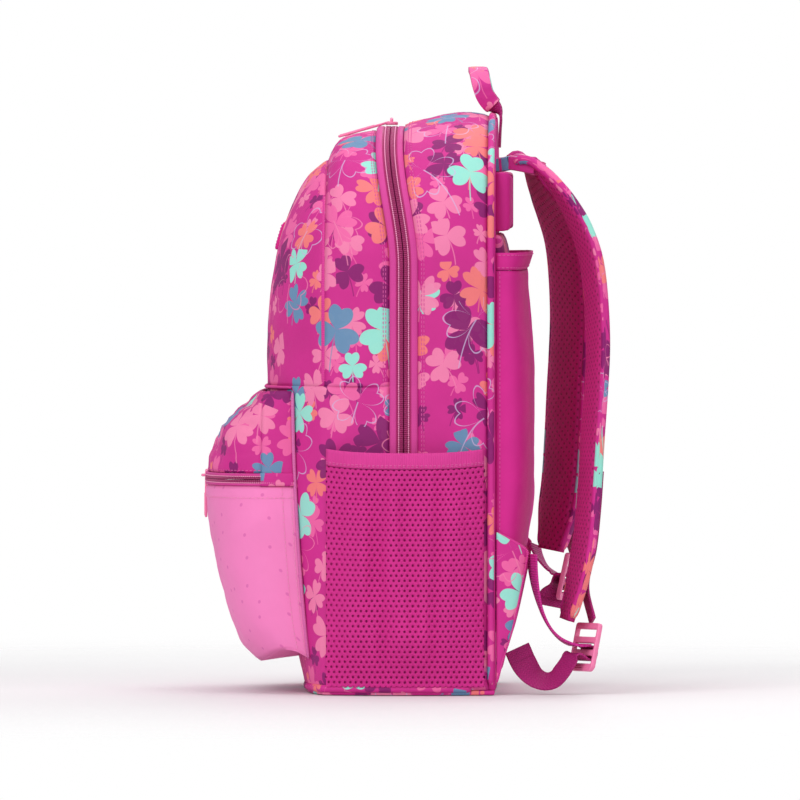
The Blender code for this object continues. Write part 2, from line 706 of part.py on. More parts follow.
def build_lock(name, bar, turn):
    """A ladder lock: a plate with three slots that leans back and is turned about the upright."""
    plate = [(-0.0150, 0.0050), (0.0150, 0.0050), (0.0150, -0.0300), (0.0120, -0.0330), (-0.0120, -0.0330),
             (-0.0150, -0.0300)]
    lock = flat_plate(name, plate, 0.0040, "plastic")
    for top_edge, bottom_edge in ((0.0, -0.0060), (-0.0110, -0.0160), (-0.0210, -0.0270)):
        slot = lock.data.splines.new("POLY")
        slot.points.add(3)
        corners = ((-0.0125, top_edge), (0.0125, top_edge), (0.0125, bottom_edge), (-0.0125, bottom_edge))
        for point, (x, y) in zip(slot.points, corners):
            point.co = (x, y, 0.0, 1.0)
        slot.use_cyclic_u = True
    lock.location = bar
    lock.rotation_euler = (math.radians(90 - LOCK_LEAN), 0.0, math.radians(turn))
    return lock


def build_strap(label, side, reach, drop, bow, twist, lock_turn, tail_turn, tail):
    """A padded strap, the webbing that joins it to the wing, and its ladder lock."""
    points = pad_points(side, reach, drop, bow)
    count = 25
    line = smooth_line(points, count)

    def across(i):
        turn = math.radians(twist) * smooth_step(i / 6)
        return Vector((math.cos(turn), math.sin(turn), 0.0))

    def width(i):
        return pad_width(i / (count - 1))

    def thickness(i):
        return pad_thickness(i / (count - 1))

    pad = sweep(f"strap_pad_{label}", band_loops(line, across, width, thickness, chamfer=0.003), "magenta")

    root = points[0]
    fold = [(root.x, PANEL_REAR_Y + GAP, 0.4045), (root.x, 0.0785, 0.4050),
            (root.x, PAD_ROOT_Y - 0.0042, 0.4060)]
    level = Vector((1.0, 0.0, 0.0))
    loops = band_loops(smooth_line(fold, 4), lambda i: level, lambda i: 0.034, lambda i: 0.0050)
    sweep(f"strap_root_{label}", loops, "magenta")

    # The webbing sewn on the outer face leaves the pad and reaches the lock's top bar.
    bar = points[-1] + Vector((side * 0.006, 0.0170, -0.0070))
    sewn = []
    for i in range(18, count - 1, 2):
        along = (line[i + 1] - line[i - 1]).normalized()
        out = across(i).cross(along).normalized()
        sewn.append(line[i] + out * (thickness(i) / 2 + WEBBING_THICKNESS / 2 + 0.0022))
    sewn.append(bar + Vector((0.0, 0.0030, 0.0095)))
    strip = webbing(f"strap_webbing_{label}", sewn, 12, turns=(twist, twist))

    # The lower webbing comes from the wing to the front of the lock.
    turned = math.radians(lock_turn)
    mouth = bar + Vector((0.0135 * math.sin(turned), -0.0135 * math.cos(turned), -0.0120))
    tip = Vector((side * WING_TIP.x, WING_TIP.y + 0.0035, WING_TIP.z - 0.0015))
    bend = Vector(((tip.x + mouth.x) / 2, tip.y + 0.0040, mouth.z + 0.0065))
    curve = [tip * (1 - t) ** 2 + bend * 2 * t * (1 - t) + mouth * t * t for t in between(0.0, 1.0, 5)]
    lower = webbing(f"lower_webbing_{label}", curve, 14, turns=(side * 16, lock_turn))

    lock = build_lock(f"ladder_lock_{label}", bar, lock_turn)
    hang = [bar + Vector(step) for step in tail]
    free_end = webbing(f"webbing_tail_{label}", hang, 3 * len(tail), turns=(lock_turn, tail_turn))
    pivot(f"lock_pivot_{label}", bar, lock, free_end)
    pivot(f"strap_pivot_{label}", root, pad, strip, lower)


# ---- Assembly ----
for old in list(bpy.data.objects):
    bpy.data.objects.remove(old)
PACK = bpy.data.collections.new("school_backpack")
bpy.context.scene.collection.children.link(PACK)

build_body()
build_zip_ends()
zip_half("zip_rear_half", 1, FLAP_LINE_Z + GAP, "coil")
build_flap()
build_main_sliders()
build_pocket()
build_lid()
build_side_pockets()
build_back()
build_handle()
for label, strap in STRAPS.items():
    build_strap(label, **strap)
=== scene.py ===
"""Looks of the school backpack: sewn panels, zips, mesh pockets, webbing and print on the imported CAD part.

Frame as in the CAD: metres, +Z up, the front pocket towards -Y, the straps towards +Y, width along X.
"""

import json
import math
from itertools import accumulate

import bmesh
import bpy
import numpy as np
from mathutils import Matrix, Vector, noise

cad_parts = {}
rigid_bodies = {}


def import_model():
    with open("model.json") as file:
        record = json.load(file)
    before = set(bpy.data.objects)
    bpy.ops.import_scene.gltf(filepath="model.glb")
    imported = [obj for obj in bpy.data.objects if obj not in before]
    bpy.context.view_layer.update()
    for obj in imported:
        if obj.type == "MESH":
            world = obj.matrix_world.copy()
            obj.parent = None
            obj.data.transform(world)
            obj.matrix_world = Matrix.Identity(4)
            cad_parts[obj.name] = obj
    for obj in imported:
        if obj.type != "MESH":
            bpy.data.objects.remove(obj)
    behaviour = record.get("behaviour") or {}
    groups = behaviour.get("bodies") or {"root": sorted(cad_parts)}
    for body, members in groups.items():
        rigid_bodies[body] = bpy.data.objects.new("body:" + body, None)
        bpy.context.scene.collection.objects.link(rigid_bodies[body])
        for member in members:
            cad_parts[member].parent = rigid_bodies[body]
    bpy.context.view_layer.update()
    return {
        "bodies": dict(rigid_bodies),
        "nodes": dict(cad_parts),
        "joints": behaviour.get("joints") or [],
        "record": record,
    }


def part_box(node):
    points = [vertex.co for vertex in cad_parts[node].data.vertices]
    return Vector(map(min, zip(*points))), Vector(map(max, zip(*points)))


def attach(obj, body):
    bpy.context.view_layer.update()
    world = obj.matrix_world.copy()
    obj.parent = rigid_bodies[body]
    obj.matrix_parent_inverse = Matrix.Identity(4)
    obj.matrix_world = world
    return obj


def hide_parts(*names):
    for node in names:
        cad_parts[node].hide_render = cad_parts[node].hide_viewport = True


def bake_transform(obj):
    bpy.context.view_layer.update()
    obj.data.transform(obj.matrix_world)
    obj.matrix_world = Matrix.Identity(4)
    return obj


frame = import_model()

# ---- Driving dimensions, the same as in the CAD ----
BODY_WIDTH = 0.310
FRONT_SEAM_Y = -0.059
REAR_SEAM_Y = 0.070
ZIP_Y = 0.003
FLAP_LINE_Z = 0.238  # where the front flap folds
SIDE_POCKET_TOP_Z = 0.190
THIN_FABRIC = 0.0015
GAP = 0.0004
TAPE_HALF = 0.0105
ZIP_REAR_EDGE_Y = ZIP_Y + TAPE_HALF + GAP
ZIP_FRONT_EDGE_Y = ZIP_Y - TAPE_HALF - GAP
WEBBING_WIDTH = 0.026
WEBBING_THICKNESS = 0.0018
SIDE_TUCK = 0.008  # how far the seams lie inside the widest part of the gusset
WIDEST_Y = 0.008
SHOULDER_RISE = 0.130  # height of the rounded top of the arch
SHOULDER_POWER = 2.7
BULGE_POWER = 4.0
FOOT_Z = 0.004
ZIP_LEAN = -0.012  # how far the zip leans forward at the top
LEAN_FROM_Z = 0.33
LEAN_OVER = 0.10
# (depth, height) of the top line, from the front seam to the rear seam
TOP_LINE = ((-0.059, 0.4130), (-0.047, 0.4265), (-0.030, 0.4320), (0.0, 0.4375), (0.024, 0.4435),
            (0.055, 0.4490), (0.072, 0.4470))
# (height, depth) of the front of the body along its centre line
FRONT_LINE = ((0.0, -0.074), (0.05, -0.086), (0.12, -0.097), (0.20, -0.104), (0.26, -0.105), (0.305, -0.1032),
              (0.35, -0.0950), (0.38, -0.0840), (0.40, -0.0735), (0.413, -0.0590))
POCKET_HALF_WIDTH = 0.124
POCKET_POWER = 3.5
POCKET_ZIP_Z = 0.1655
POCKET_HINGE_Y = -0.1075
POCKET_HINGE_Z = 0.2365
PANEL_REAR_Y = 0.0735
SLEEVE_BOTTOM_Z = 0.113
SLEEVE_TOP_Z = 0.3275
PAD_WIDTH = 0.058
PAD_THICKNESS = 0.011
PAD_ROOT_Y = 0.087
LOCK_LEAN = 13  # degrees
# Each strap: how far it hangs off the back, how much of the pad's drop it has, how much its middle bows
# out, the turns of its pad, its lock and the end of its webbing tail about the upright, in degrees, and
# the way the tail runs from the lock's bar.
STRAPS = {
    "right": {"side": 1, "reach": 1.0, "drop": 1.0, "bow": 0.010, "twist": 13, "lock_turn": 37,
              "tail_turn": 72,
              "tail": ((0.0072, -0.0120, -0.0205), (0.0072, -0.0160, -0.0265), (0.0060, -0.0205, -0.0335),
                       (0.0030, -0.0270, -0.0400), (0.0000, -0.0350, -0.0415), (-0.0020, -0.0430, -0.0375),
                       (-0.0030, -0.0500, -0.0280), (-0.0030, -0.0555, -0.0160))},
    "left": {"side": -1, "reach": 0.66, "drop": 0.865, "bow": 0.034, "twist": 30, "lock_turn": -20,
             "tail_turn": -78,
             "tail": ((-0.0036, -0.0110, -0.0165), (-0.0040, -0.0140, -0.0240), (-0.0040, -0.0168, -0.0310),
                      (-0.0040, -0.0185, -0.0390))},
}
STRAP_ROOT_X = 0.068
STRAP_END_X = 0.118
WING_TIP = Vector((0.1385, 0.0975, 0.1100))

# ---- Shapes that are finer than in the CAD ----
# (height, depth) of the front of the pocket along its centre line
POCKET_LINE = ((0.022, -0.1110), (0.040, -0.1260), (0.070, -0.1360), (0.118, -0.1470), (0.150, -0.1525),
               (0.166, -0.1525), (0.180, -0.1500), (0.196, -0.1455), (0.211, -0.1350), (0.2265, -0.1180),
               (0.2365, -0.1080))
POCKET_TAPE_HALF = 0.0045
LID_TOP_Z = 0.2340
POUCH_START_Y = FRONT_SEAM_Y + 0.0020
POUCH_LENGTH = REAR_SEAM_Y - FRONT_SEAM_Y - 0.0070
POUCH_BOW = 0.0135  # how far a side pocket stands off the body
POUCH_BAND = 0.0130  # height of its elastic binding
SLEEVE_HALF_WIDTH = 0.1425  # the trolley sleeve is sewn in at the side seams
SLEEVE_REAR_Y = 0.0972
SLEEVE_BELLY = 0.0050
HEM_TOP_Z = 0.341
PAD_TUCK = 0.0030  # the seams of the back's pads lie this deep in the back panel
# (depth behind the root, height) along the middle of a shoulder pad, with a rounder top than in the CAD
PAD_LINE = ((0.000, 0.4098), (0.007, 0.4118), (0.016, 0.4092), (0.027, 0.3990), (0.037, 0.3860),
            (0.046, 0.3710), (0.054, 0.3540), (0.0605, 0.3330), (0.0640, 0.3050), (0.0655, 0.2700),
            (0.0640, 0.2350), (0.0615, 0.2000), (0.0590, 0.1600), (0.0555, 0.1200), (0.0490, 0.0850),
            (0.0415, 0.0570))
PAD_ROOT_WIDTH = 0.036
PAD_ROOT_THICKNESS = 0.006
# The way of the webbing's tail round the lock's third bar, as (y, z) in the lock's own frame
TAIL_LOOP = ((-0.0132, -0.0004), (-0.0142, -0.0036), (-0.0185, -0.0046), (-0.0230, -0.0035),
             (-0.0238, 0.0015))
# Along the points of a tail: how many there are, where its width starts to turn, where it starts to take
# the turn of its end, and how many of them the folded hem covers
TAIL_POINTS = 110
TAIL_TURN_FROM = 40
TAIL_END_FROM = 66
TAIL_HEM = 12
# (height, reach behind the rear seam) of a wing's free edge
WING_LINE = ((0.0080, 0.0), (0.0270, 0.0050), (0.0480, 0.0120), (0.0770, 0.0190), (0.1070, 0.0250),
             (0.1125, 0.0235), (0.1260, 0.0))
# One leg of the handle, from its foot on the back to the middle of the grip
HANDLE_LEG = ((0.0300, 0.0752, 0.4220), (0.0300, 0.0758, 0.4360), (0.0303, 0.0762, 0.4460),
              (0.0308, 0.0735, 0.4515), (0.0316, 0.0680, 0.4570), (0.0320, 0.0635, 0.4640),
              (0.0305, 0.0612, 0.4720), (0.0200, 0.0592, 0.4805), (0.0, 0.0580, 0.4828))
HANDLE_TURN_Z = 0.4460  # where the webbing starts its quarter turn
HANDLE_TURN_RISE = 0.0115
HANDLE_SLEEVE_Z = 0.4545

# ---- Sewing ----
CELL = 0.004  # grid spacing of a sewn panel
STITCH_PITCH = 0.0034
TOOTH_PITCH = 0.0016
COIL_THREAD_PITCH = 0.0017
HOLE_SHARE = 0.42  # width of a hole in the net, as a share of its cell
NET_COLUMN = 0.0021
NET_ROW = 0.0020
# A zip's half: its section from the free edge to the teeth and back as (across, out), the places in it
# that lie deep and are darkened as painted shade, the middle and size of a tooth, whether the teeth are
# paler where they stand out, and the middle and width of the light thread.
MAIN_GAUGE = {
    "section": ((TAPE_HALF + 0.0004, -0.0006), (TAPE_HALF - 0.0008, 0.0006), (0.0078, 0.0007),
                (0.0060, 0.0006), (0.0050, -0.0002), (0.0004, -0.0003), (0.0004, -0.0012),
                (TAPE_HALF + 0.0004, -0.0018)),
    "deep": (3, 4, 5), "tooth": (0.0018, 0.0), "tooth_size": (0.0034, 0.0012, 0.0014),
    "pale_ridges": False, "thread": (0.0038, 0.0004), "thread_width": 0.0011}
POCKET_GAUGE = {
    "section": ((0.0046, 0.0), (0.0040, 0.0009), (0.0026, 0.0007), (0.0018, 0.0001), (0.0002, 0.0),
                (0.0002, -0.0010), (0.0046, -0.0010)),
    "deep": (2, 3, 4), "tooth": (0.0009, 0.0006), "tooth_size": (0.0021, 0.0011, 0.0014),
    "pale_ridges": True, "thread": (0.0023, 0.0009), "thread_width": 0.0008}

# ---- Stage ----
FLOOR_SIZE = 4.0
FLOOR_FADE = (0.35, 1.30)  # distances from the middle where the floor starts and ends to fade
SKY_LIGHT = 0.50  # strength of the even light from all round; the background itself is white
# (name, place, size, power) of each area light
LAMPS = (("key", (3.2, -1.8, 2.2), 2.4, 85.0), ("fill", (2.4, 2.8, 1.4), 2.6, 31.0),
         ("top", (0.0, 0.0, 3.2), 2.6, 42.0), ("back", (-2.4, 1.0, 2.2), 2.4, 30.0))
CAMERA_DISTANCE = 12.0
VIEW_WIDTH = 0.6245
SENSOR_WIDTH = 36.0

# ---- Colours, linear ----
MAGENTA = (0.62, 0.021, 0.262)
CORAL = (0.90, 0.20, 0.20)
PINK = (0.86, 0.13, 0.38)
PINK_LIGHT = (0.88, 0.22, 0.42)
MINT = (0.30, 0.78, 0.66)
BLUE = (0.12, 0.28, 0.46)
PURPLE = (0.24, 0.006, 0.145)
LILAC = (0.60, 0.45, 0.72)
ROSE = (0.84, 0.215, 0.50)
# (start, ink) of each scattered layer: clovers take an ink by chance
SMALL_INKS = ((0.0, PINK), (0.34, PURPLE), (0.52, PINK_LIGHT), (0.80, CORAL), (0.92, PURPLE))
MIDDLE_INKS = ((0.0, PINK_LIGHT), (0.34, CORAL), (0.54, PINK), (0.76, PURPLE), (0.88, MINT), (0.94, BLUE))
LARGE_INKS = ((0.0, PINK_LIGHT), (0.22, CORAL), (0.44, MINT), (0.60, BLUE), (0.72, PINK), (0.88, PURPLE))
LINE_INKS = ((0.0, LILAC), (0.8, PINK_LIGHT))

SIDES = (("right", 1), ("left", -1))
UP = Vector((0.0, 0.0, 1.0))
BACK = Vector((0.0, 1.0, 0.0))


# ---- Small maths ----
def smooth_value(points, at):
    """A smooth curve through (position, value) points, read at one position."""
    last = len(points) - 1
    at = min(max(at, points[0][0]), points[last][0])
    i = next(k for k in range(last) if at <= points[k + 1][0])
    slopes = []
    for k in (i, i + 1):
        lo, hi = max(k - 1, 0), min(k + 1, last)
        slopes.append((points[hi][1] - points[lo][1]) / (points[hi][0] - points[lo][0]))
    span = points[i + 1][0] - points[i][0]
    t = (at - points[i][0]) / span
    a, b = points[i][1], points[i + 1][1]
    return (a * (2 * t**3 - 3 * t**2 + 1) + b * (3 * t**2 - 2 * t**3)
            + span * (slopes[0] * (t**3 - 2 * t**2 + t) + slopes[1] * (t**3 - t**2)))


def smooth_step(t):
    t = np.clip(t, 0.0, 1.0)
    return t * t * (3 - 2 * t)


def between(a, b, count):
    return [a + (b - a) * i / (count - 1) for i in range(count)]


def power_rest(share, power):
    return (1 - min(abs(share), 1.0) ** power) ** (1 / power)


def bend(a, corner, b, t):
    """A point of the curve that leaves a towards the corner and arrives at b."""
    return a * (1 - t) ** 2 + corner * 2 * t * (1 - t) + b * t * t


def table_of(points):
    return np.array([tuple(p) for p in points], float)


def run_along(table):
    """Length along a polyline up to each of its points."""
    return np.concatenate(([0.0], np.cumsum(np.linalg.norm(np.diff(table, axis=0), axis=1))))


def read_along(run, table, places):
    """Rows of a table that holds one row for each length in run, read at other lengths."""
    return np.stack([np.interp(places, run, column) for column in table.T], axis=1)


def spaced(points, count):
    """A polyline resampled to evenly spaced points."""
    line = table_of(points)
    run = run_along(line)
    return read_along(run, line, np.linspace(0.0, run[-1], count))


def length_of(points):
    return float(run_along(table_of(points))[-1])


def smooth_line(points, count):
    """Evenly spaced points along a smooth curve through a few 3-D points."""
    last = len(points) - 1
    tables = [[(i, p[axis]) for i, p in enumerate(points)] for axis in range(3)]
    dense = [[smooth_value(table, at) for table in tables] for at in between(0, last, 12 * last + 1)]
    return [Vector(p) for p in spaced(dense, count)]


def heading(line, i):
    """Direction of a line of Vectors at one of its points."""
    return (line[min(i + 1, len(line) - 1)] - line[max(i - 1, 0)]).normalized()


def runs_of(line):
    """Length along a line of Vectors up to each of its points."""
    return list(accumulate([0.0] + [(b - a).length for a, b in zip(line, line[1:])]))


def turned(degrees):
    """The X direction, turned about the upright."""
    angle = math.radians(degrees)
    return Vector((math.cos(angle), math.sin(angle), 0.0))


# ---- The body's outline ----
def crown_height(y):
    return smooth_value(TOP_LINE, y)


def half_width(y):
    return BODY_WIDTH / 2 - SIDE_TUCK * ((y - WIDEST_Y) / (REAR_SEAM_Y - WIDEST_Y)) ** 2


def arch_half_width(y, z):
    spring = crown_height(y) - SHOULDER_RISE
    return half_width(y) * power_rest(max(z - spring, 0.0) / SHOULDER_RISE, SHOULDER_POWER)


def arch(y, foot, count, inset=0.0):
    """Evenly spaced (x, z) points up the right side of the body, over the crown and down the left side."""
    spring = crown_height(y) - SHOULDER_RISE
    width = half_width(y) - inset
    rise = SHOULDER_RISE - inset
    right = [(width, foot)]
    for angle in between(0.0, math.pi / 2, 61):
        right.append((width * max(math.cos(angle), 0.0) ** (2 / SHOULDER_POWER),
                      spring + rise * math.sin(angle) ** (2 / SHOULDER_POWER)))
    right[-1] = (0.0, right[-1][1])
    return spaced(right + [(-x, z) for x, z in reversed(right[:-1])], count)


def leaned(x, y, z):
    """A point of the gusset, moved by the forward lean of the zip."""
    seam = REAR_SEAM_Y if y > ZIP_Y else FRONT_SEAM_Y
    tape = TAPE_HALF + GAP
    weight = 1 - max(abs(y - ZIP_Y) - tape, 0.0) / (abs(seam - ZIP_Y) - tape)
    return (x, y + ZIP_LEAN * weight * float(smooth_step((z - LEAN_FROM_Z) / LEAN_OVER)), z)


def gusset_rows(front_y, rear_y, foot):
    across = max(int((rear_y - front_y) / CELL), 3)
    return [[leaned(x, y, z) for x, z in arch(y, foot, 261)] for y in between(front_y, rear_y, across + 1)]


def front_surface_y(x, z):
    """Depth of the outer face of the front panel."""
    crown = FRONT_SEAM_Y - smooth_value(FRONT_LINE, z)
    width = arch_half_width(FRONT_SEAM_Y, z)
    if width < 1e-6:
        return FRONT_SEAM_Y
    return FRONT_SEAM_Y - crown * (1 - min(abs(x) / width, 1.0) ** BULGE_POWER)


def shell_plan(rear_y, z, side_count, front_count, inset=0.0):
    """The body's (x, y) outline at a height, from rear_y on the right round the front to the left."""
    side = [(half_width(y) - inset, y) for y in between(rear_y, FRONT_SEAM_Y, side_count)]
    width = side[-1][0]
    turns = [width * math.cos(math.pi * i / front_count) for i in range(1, front_count)]
    return side + [(x, front_surface_y(x, z)) for x in turns] + [(-x, y) for x, y in reversed(side)]


def coons(bottom, right, top, left):
    """A grid of points inside four edges. bottom and top run right to left, right and left run up."""
    t = np.linspace(0, 1, len(right))[:, None, None]
    u = np.linspace(0, 1, len(bottom))[None, :, None]
    b, p, r, s = (np.array(e, float) for e in (bottom, top, right, left))
    return ((1 - t) * b[None] + t * p[None] + (1 - u) * r[:, None] + u * s[:, None]
            - (1 - u) * (1 - t) * b[0] - u * (1 - t) * b[-1] - (1 - u) * t * p[0] - u * t * p[-1])


def arched_grid(y, foot, inset, count):
    """Rows of (x, z) points that fill the arch at one depth, from the foot to the crown."""
    line = arch(y, foot, 401, inset)
    corner = 150  # the shoulder point that ends each side edge
    right = spaced(line[:corner + 1], count)
    top = spaced(line[corner:len(line) - corner], count)
    left = right * (-1, 1)
    return coons(spaced([right[0], left[0]], count), right, top, left)


def pocket_depth(z):
    """Where the pocket's sides meet the body at a height, and how far its front stands off from there."""
    rear = front_surface_y(POCKET_HALF_WIDTH - 0.0025, z) - 0.0006
    return rear, rear - smooth_value(POCKET_LINE, z)


def pocket_plan(z, first, last, count):
    """Evenly spaced points of the pocket's outline at height z, between two shares of the way round."""
    rear, depth = pocket_depth(z)
    points = []
    for share in between(first, last, 81):
        angle = math.pi * share
        x = POCKET_HALF_WIDTH * math.copysign(abs(math.cos(angle)) ** (2 / POCKET_POWER), math.cos(angle))
        points.append((x, rear - depth * max(math.sin(angle), 0.0) ** (2 / POCKET_POWER), z))
    return spaced(points, count)


def pocket_cut(z, y):
    """Share of the way round the pocket at height z where its outline reaches depth y."""
    rear, depth = pocket_depth(z)
    sine = min(max((rear - y) / depth, 0.0), 1.0) ** (POCKET_POWER / 2)
    return math.asin(sine) / math.pi


def pocket_side(z, y, side, count):
    """Points of one side of the pocket at height z, from the body to depth y, in the order that faces out."""
    line = pocket_plan(z, 0.0, pocket_cut(z, y), count)
    return line if side > 0 else line[::-1] * (-1, 1, 1)


# ---- Mesh tools ----
def add_piece(name, mesh, look, body):
    """Links a mesh as a piece that rides on a body and stands for the CAD node of its name, if any."""
    piece = bpy.data.objects.new(name, mesh)
    bpy.context.scene.collection.objects.link(piece)
    mesh.materials.append(LOOKS[look])
    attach(piece, body)
    if name in frame["nodes"]:
        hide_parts(name)
    return piece


def store_cloth(mesh, places):
    """Writes where each vertex lies in its cut fabric, in metres, for the weave and the print."""
    attribute = mesh.attributes.get("cloth") or mesh.attributes.new("cloth", "FLOAT_VECTOR", "POINT")
    attribute.data.foreach_set("vector", np.asarray(places, np.float32).ravel())


def make_mesh(name, points, faces, places):
    mesh = bpy.data.meshes.new(name)
    mesh.from_pydata([tuple(p) for p in points], [], faces)
    store_cloth(mesh, places)
    mesh.shade_smooth()
    return mesh


def grid_quads(rows, columns, start=0):
    return [(start + j * columns + i, start + (j + 1) * columns + i,
             start + (j + 1) * columns + i + 1, start + j * columns + i + 1)
            for j in range(rows - 1) for i in range(columns - 1)]


def sweep(name, rings, places, look, body, flipped=False, ends=True, crisp=None, inlay=None):
    """A skin over rings of points, with flat ends.

    The rings turn anticlockwise seen from the last of them, or clockwise where flipped. Edges sharper than
    crisp degrees stay sharp. inlay is a second look and its places round the ring.
    """
    around = len(rings[0])
    last = (len(rings) - 1) * around
    faces = []
    for a in range(0, last, around):
        for k in range(around):
            after = (k + 1) % around
            faces.append((a + k, a + after, a + around + after, a + around + k))
    if ends:
        faces += [tuple(range(around))[::-1], tuple(range(last, last + around))]
    if flipped:
        faces = [face[::-1] for face in faces]
    mesh = make_mesh(name, [p for ring in rings for p in ring], faces, places)
    if crisp:
        mesh.set_sharp_from_angle(angle=math.radians(crisp))
    piece = add_piece(name, mesh, look, body)
    if inlay:
        mesh.materials.append(LOOKS[inlay[0]])
        for i, face in enumerate(mesh.polygons):
            face.material_index = int(i % around in inlay[1])
    return piece


def apply_modifiers(piece):
    """Turns what the modifiers make into the piece's own mesh."""
    depsgraph = bpy.context.evaluated_depsgraph_get()
    made = bpy.data.meshes.new_from_object(piece.evaluated_get(depsgraph))
    piece.modifiers.clear()
    piece.data = made


def thicken(piece, thickness):
    wall = piece.modifiers.new("Wall", "SOLIDIFY")
    wall.thickness = thickness
    wall.offset = -1.0
    wall.use_rim = True
    apply_modifiers(piece)


def noise_over(u, v, grain_u, grain_v, seed):
    """Smooth noise between about -1 and 1 over a grid of cloth positions."""
    flat = [noise.fractal(Vector((a * grain_u, b * grain_v, seed)), 0.9, 2.0, 3)
            for a, b in zip(u.ravel(), v.ravel())]
    return np.array(flat).reshape(u.shape)


class Panel:
    """A sewn panel: a grid of points with cloth positions, normals and distances from the seams."""

    def __init__(self, rows):
        self.points = np.array([[tuple(p) for p in row] for row in rows], float)
        steps_u = np.linalg.norm(np.diff(self.points, axis=1), axis=2)
        steps_v = np.linalg.norm(np.diff(self.points, axis=0), axis=2)
        self.run = np.concatenate((np.zeros((len(rows), 1)), np.cumsum(steps_u, axis=1)), axis=1)
        self.v = np.concatenate((np.zeros((1, self.points.shape[1])), np.cumsum(steps_v, axis=0)), axis=0)
        self.sides = {"start": self.run, "end": self.run[:, -1:] - self.run,
                      "foot": self.v, "head": self.v[-1:, :] - self.v}
        self.edge_u = np.minimum(self.sides["start"], self.sides["end"])
        self.edge_v = np.minimum(self.sides["foot"], self.sides["head"])
        self.edge = np.minimum(self.edge_u, self.edge_v)
        self.u = self.run - self.run[:, -1:] / 2
        self.find_normals()

    def find_normals(self):
        normals = np.cross(np.gradient(self.points, axis=0), np.gradient(self.points, axis=1))
        self.normals = normals / np.maximum(np.linalg.norm(normals, axis=2, keepdims=True), 1e-9)

    def push(self, offset):
        """Moves the points out along the normals."""
        self.points = self.points + self.normals * offset[..., None]
        self.find_normals()
        return self

    def slack(self, depth, grain=(14, 14), seed=0.0, pucker=0.0005, tuck=0.0010, crown=0.0, butted=()):
        """Broad swells that fade at the seams, fine puckers beside them, and edges that turn under.

        The butted edges meet a neighbour with no seam, so they don't turn under.
        """
        sewn = np.minimum.reduce([far for side, far in self.sides.items() if side not in butted])
        broad = noise_over(self.u, self.v, grain[0], grain[1], seed) * smooth_step(self.edge / 0.030)
        fine = noise_over(self.u, self.v, 110, 110, seed + 7) * np.exp(-sewn / 0.010)
        fine = fine * smooth_step(self.edge / 0.004)
        swell = smooth_step(self.edge_v / np.maximum(self.edge_v.max(axis=0), 1e-6))
        return self.push(depth * broad + pucker * fine - tuck * np.exp(-sewn / 0.0016) + crown * swell)

    def build(self, name, look, body, thickness, print_at=None):
        """Makes the panel. print_at gives the cloth positions where they aren't (u, v)."""
        first, second = print_at or (self.u, self.v)
        places = np.stack((first, second, np.zeros_like(first)), axis=2).reshape(-1, 3)
        mesh = make_mesh(name, self.points.reshape(-1, 3), grid_quads(*self.u.shape), places)
        piece = add_piece(name, mesh, look, body)
        thicken(piece, thickness)
        return piece

    def line(self, row=None, column=None):
        """(point, normal) pairs just above a row or a column; a fraction falls between two of them."""
        if row is None:
            grid, facing, index = self.points.transpose(1, 0, 2), self.normals.transpose(1, 0, 2), column
        else:
            grid, facing, index = self.points, self.normals, row
        index = index if index >= 0 else len(grid) - 1 + index
        low = min(int(index), len(grid) - 2)
        share = index - low
        points = grid[low] * (1 - share) + grid[low + 1] * share
        normals = facing[low] * (1 - share) + facing[low + 1] * share
        return [(Vector(p) + Vector(n) * 0.0002, Vector(n)) for p, n in zip(points, normals)]

    def stitch(self, name, body, rows=(), columns=(), **thread):
        lines = [self.line(column=column) for column in columns] + [self.line(row=row) for row in rows]
        stitching(name, lines, body, **thread)


def strung(line, pitch):
    """(point, normal, direction) every pitch along a line of (point, normal) pairs."""
    points = table_of(p for p, _ in line)
    run = run_along(points)
    at = np.arange(pitch / 2, run[-1], pitch)
    ways = read_along(run, points, at + pitch / 4) - read_along(run, points, at - pitch / 4)
    normals = read_along(run, table_of(n for _, n in line), at)
    return [(Vector(p), Vector(n).normalized(), Vector(way).normalized())
            for p, n, way in zip(read_along(run, points, at), normals, ways)]


def scattered(name, template, places, look, body):
    """Copies of a small template mesh, one at each (point, x axis, y axis, z axis), joined in one piece."""
    corners, quads = template
    points, faces, cloth = [], [], []
    for origin, x, y, z in places:
        start = len(points)
        points += [origin + x * c[0] + y * c[1] + z * c[2] for c in corners]
        cloth += [(c[0], c[1] + start * 0.0007, c[2]) for c in corners]
        faces += [tuple(start + k for k in face) for face in quads]
    return add_piece(name, make_mesh(name, points, faces, cloth), look, body)


def bean(length, width, height):
    """A small rounded bar along its local x: four rings of six and a point at each end."""
    corners = [(-length / 2, 0.0, 0.0)]
    for share, swell in ((-0.42, 0.62), (-0.25, 1.0), (0.25, 1.0), (0.42, 0.62)):
        for k in range(6):
            angle = math.pi * k / 3
            corners.append((share * length, width / 2 * swell * math.cos(angle),
                            height / 2 * swell * math.sin(angle)))
    corners.append((length / 2, 0.0, 0.0))
    faces = [(0, 1 + (k + 1) % 6, 1 + k) for k in range(6)]
    for a in (1, 7, 13):
        faces += [(a + k, a + (k + 1) % 6, a + 6 + (k + 1) % 6, a + 6 + k) for k in range(6)]
    faces += [(19 + k, 19 + (k + 1) % 6, 25) for k in range(6)]
    return corners, faces


def stitching(name, lines, body, look="thread", pitch=STITCH_PITCH, share=0.72, width=0.0006):
    """Rows of thread along lines of (point, normal) pairs."""
    places = []
    for line in lines:
        for point, normal, along in strung(line, pitch):
            places.append((point, along, normal.cross(along).normalized(), normal))
    scattered(name, bean(pitch * share, width, width), places, look, body)


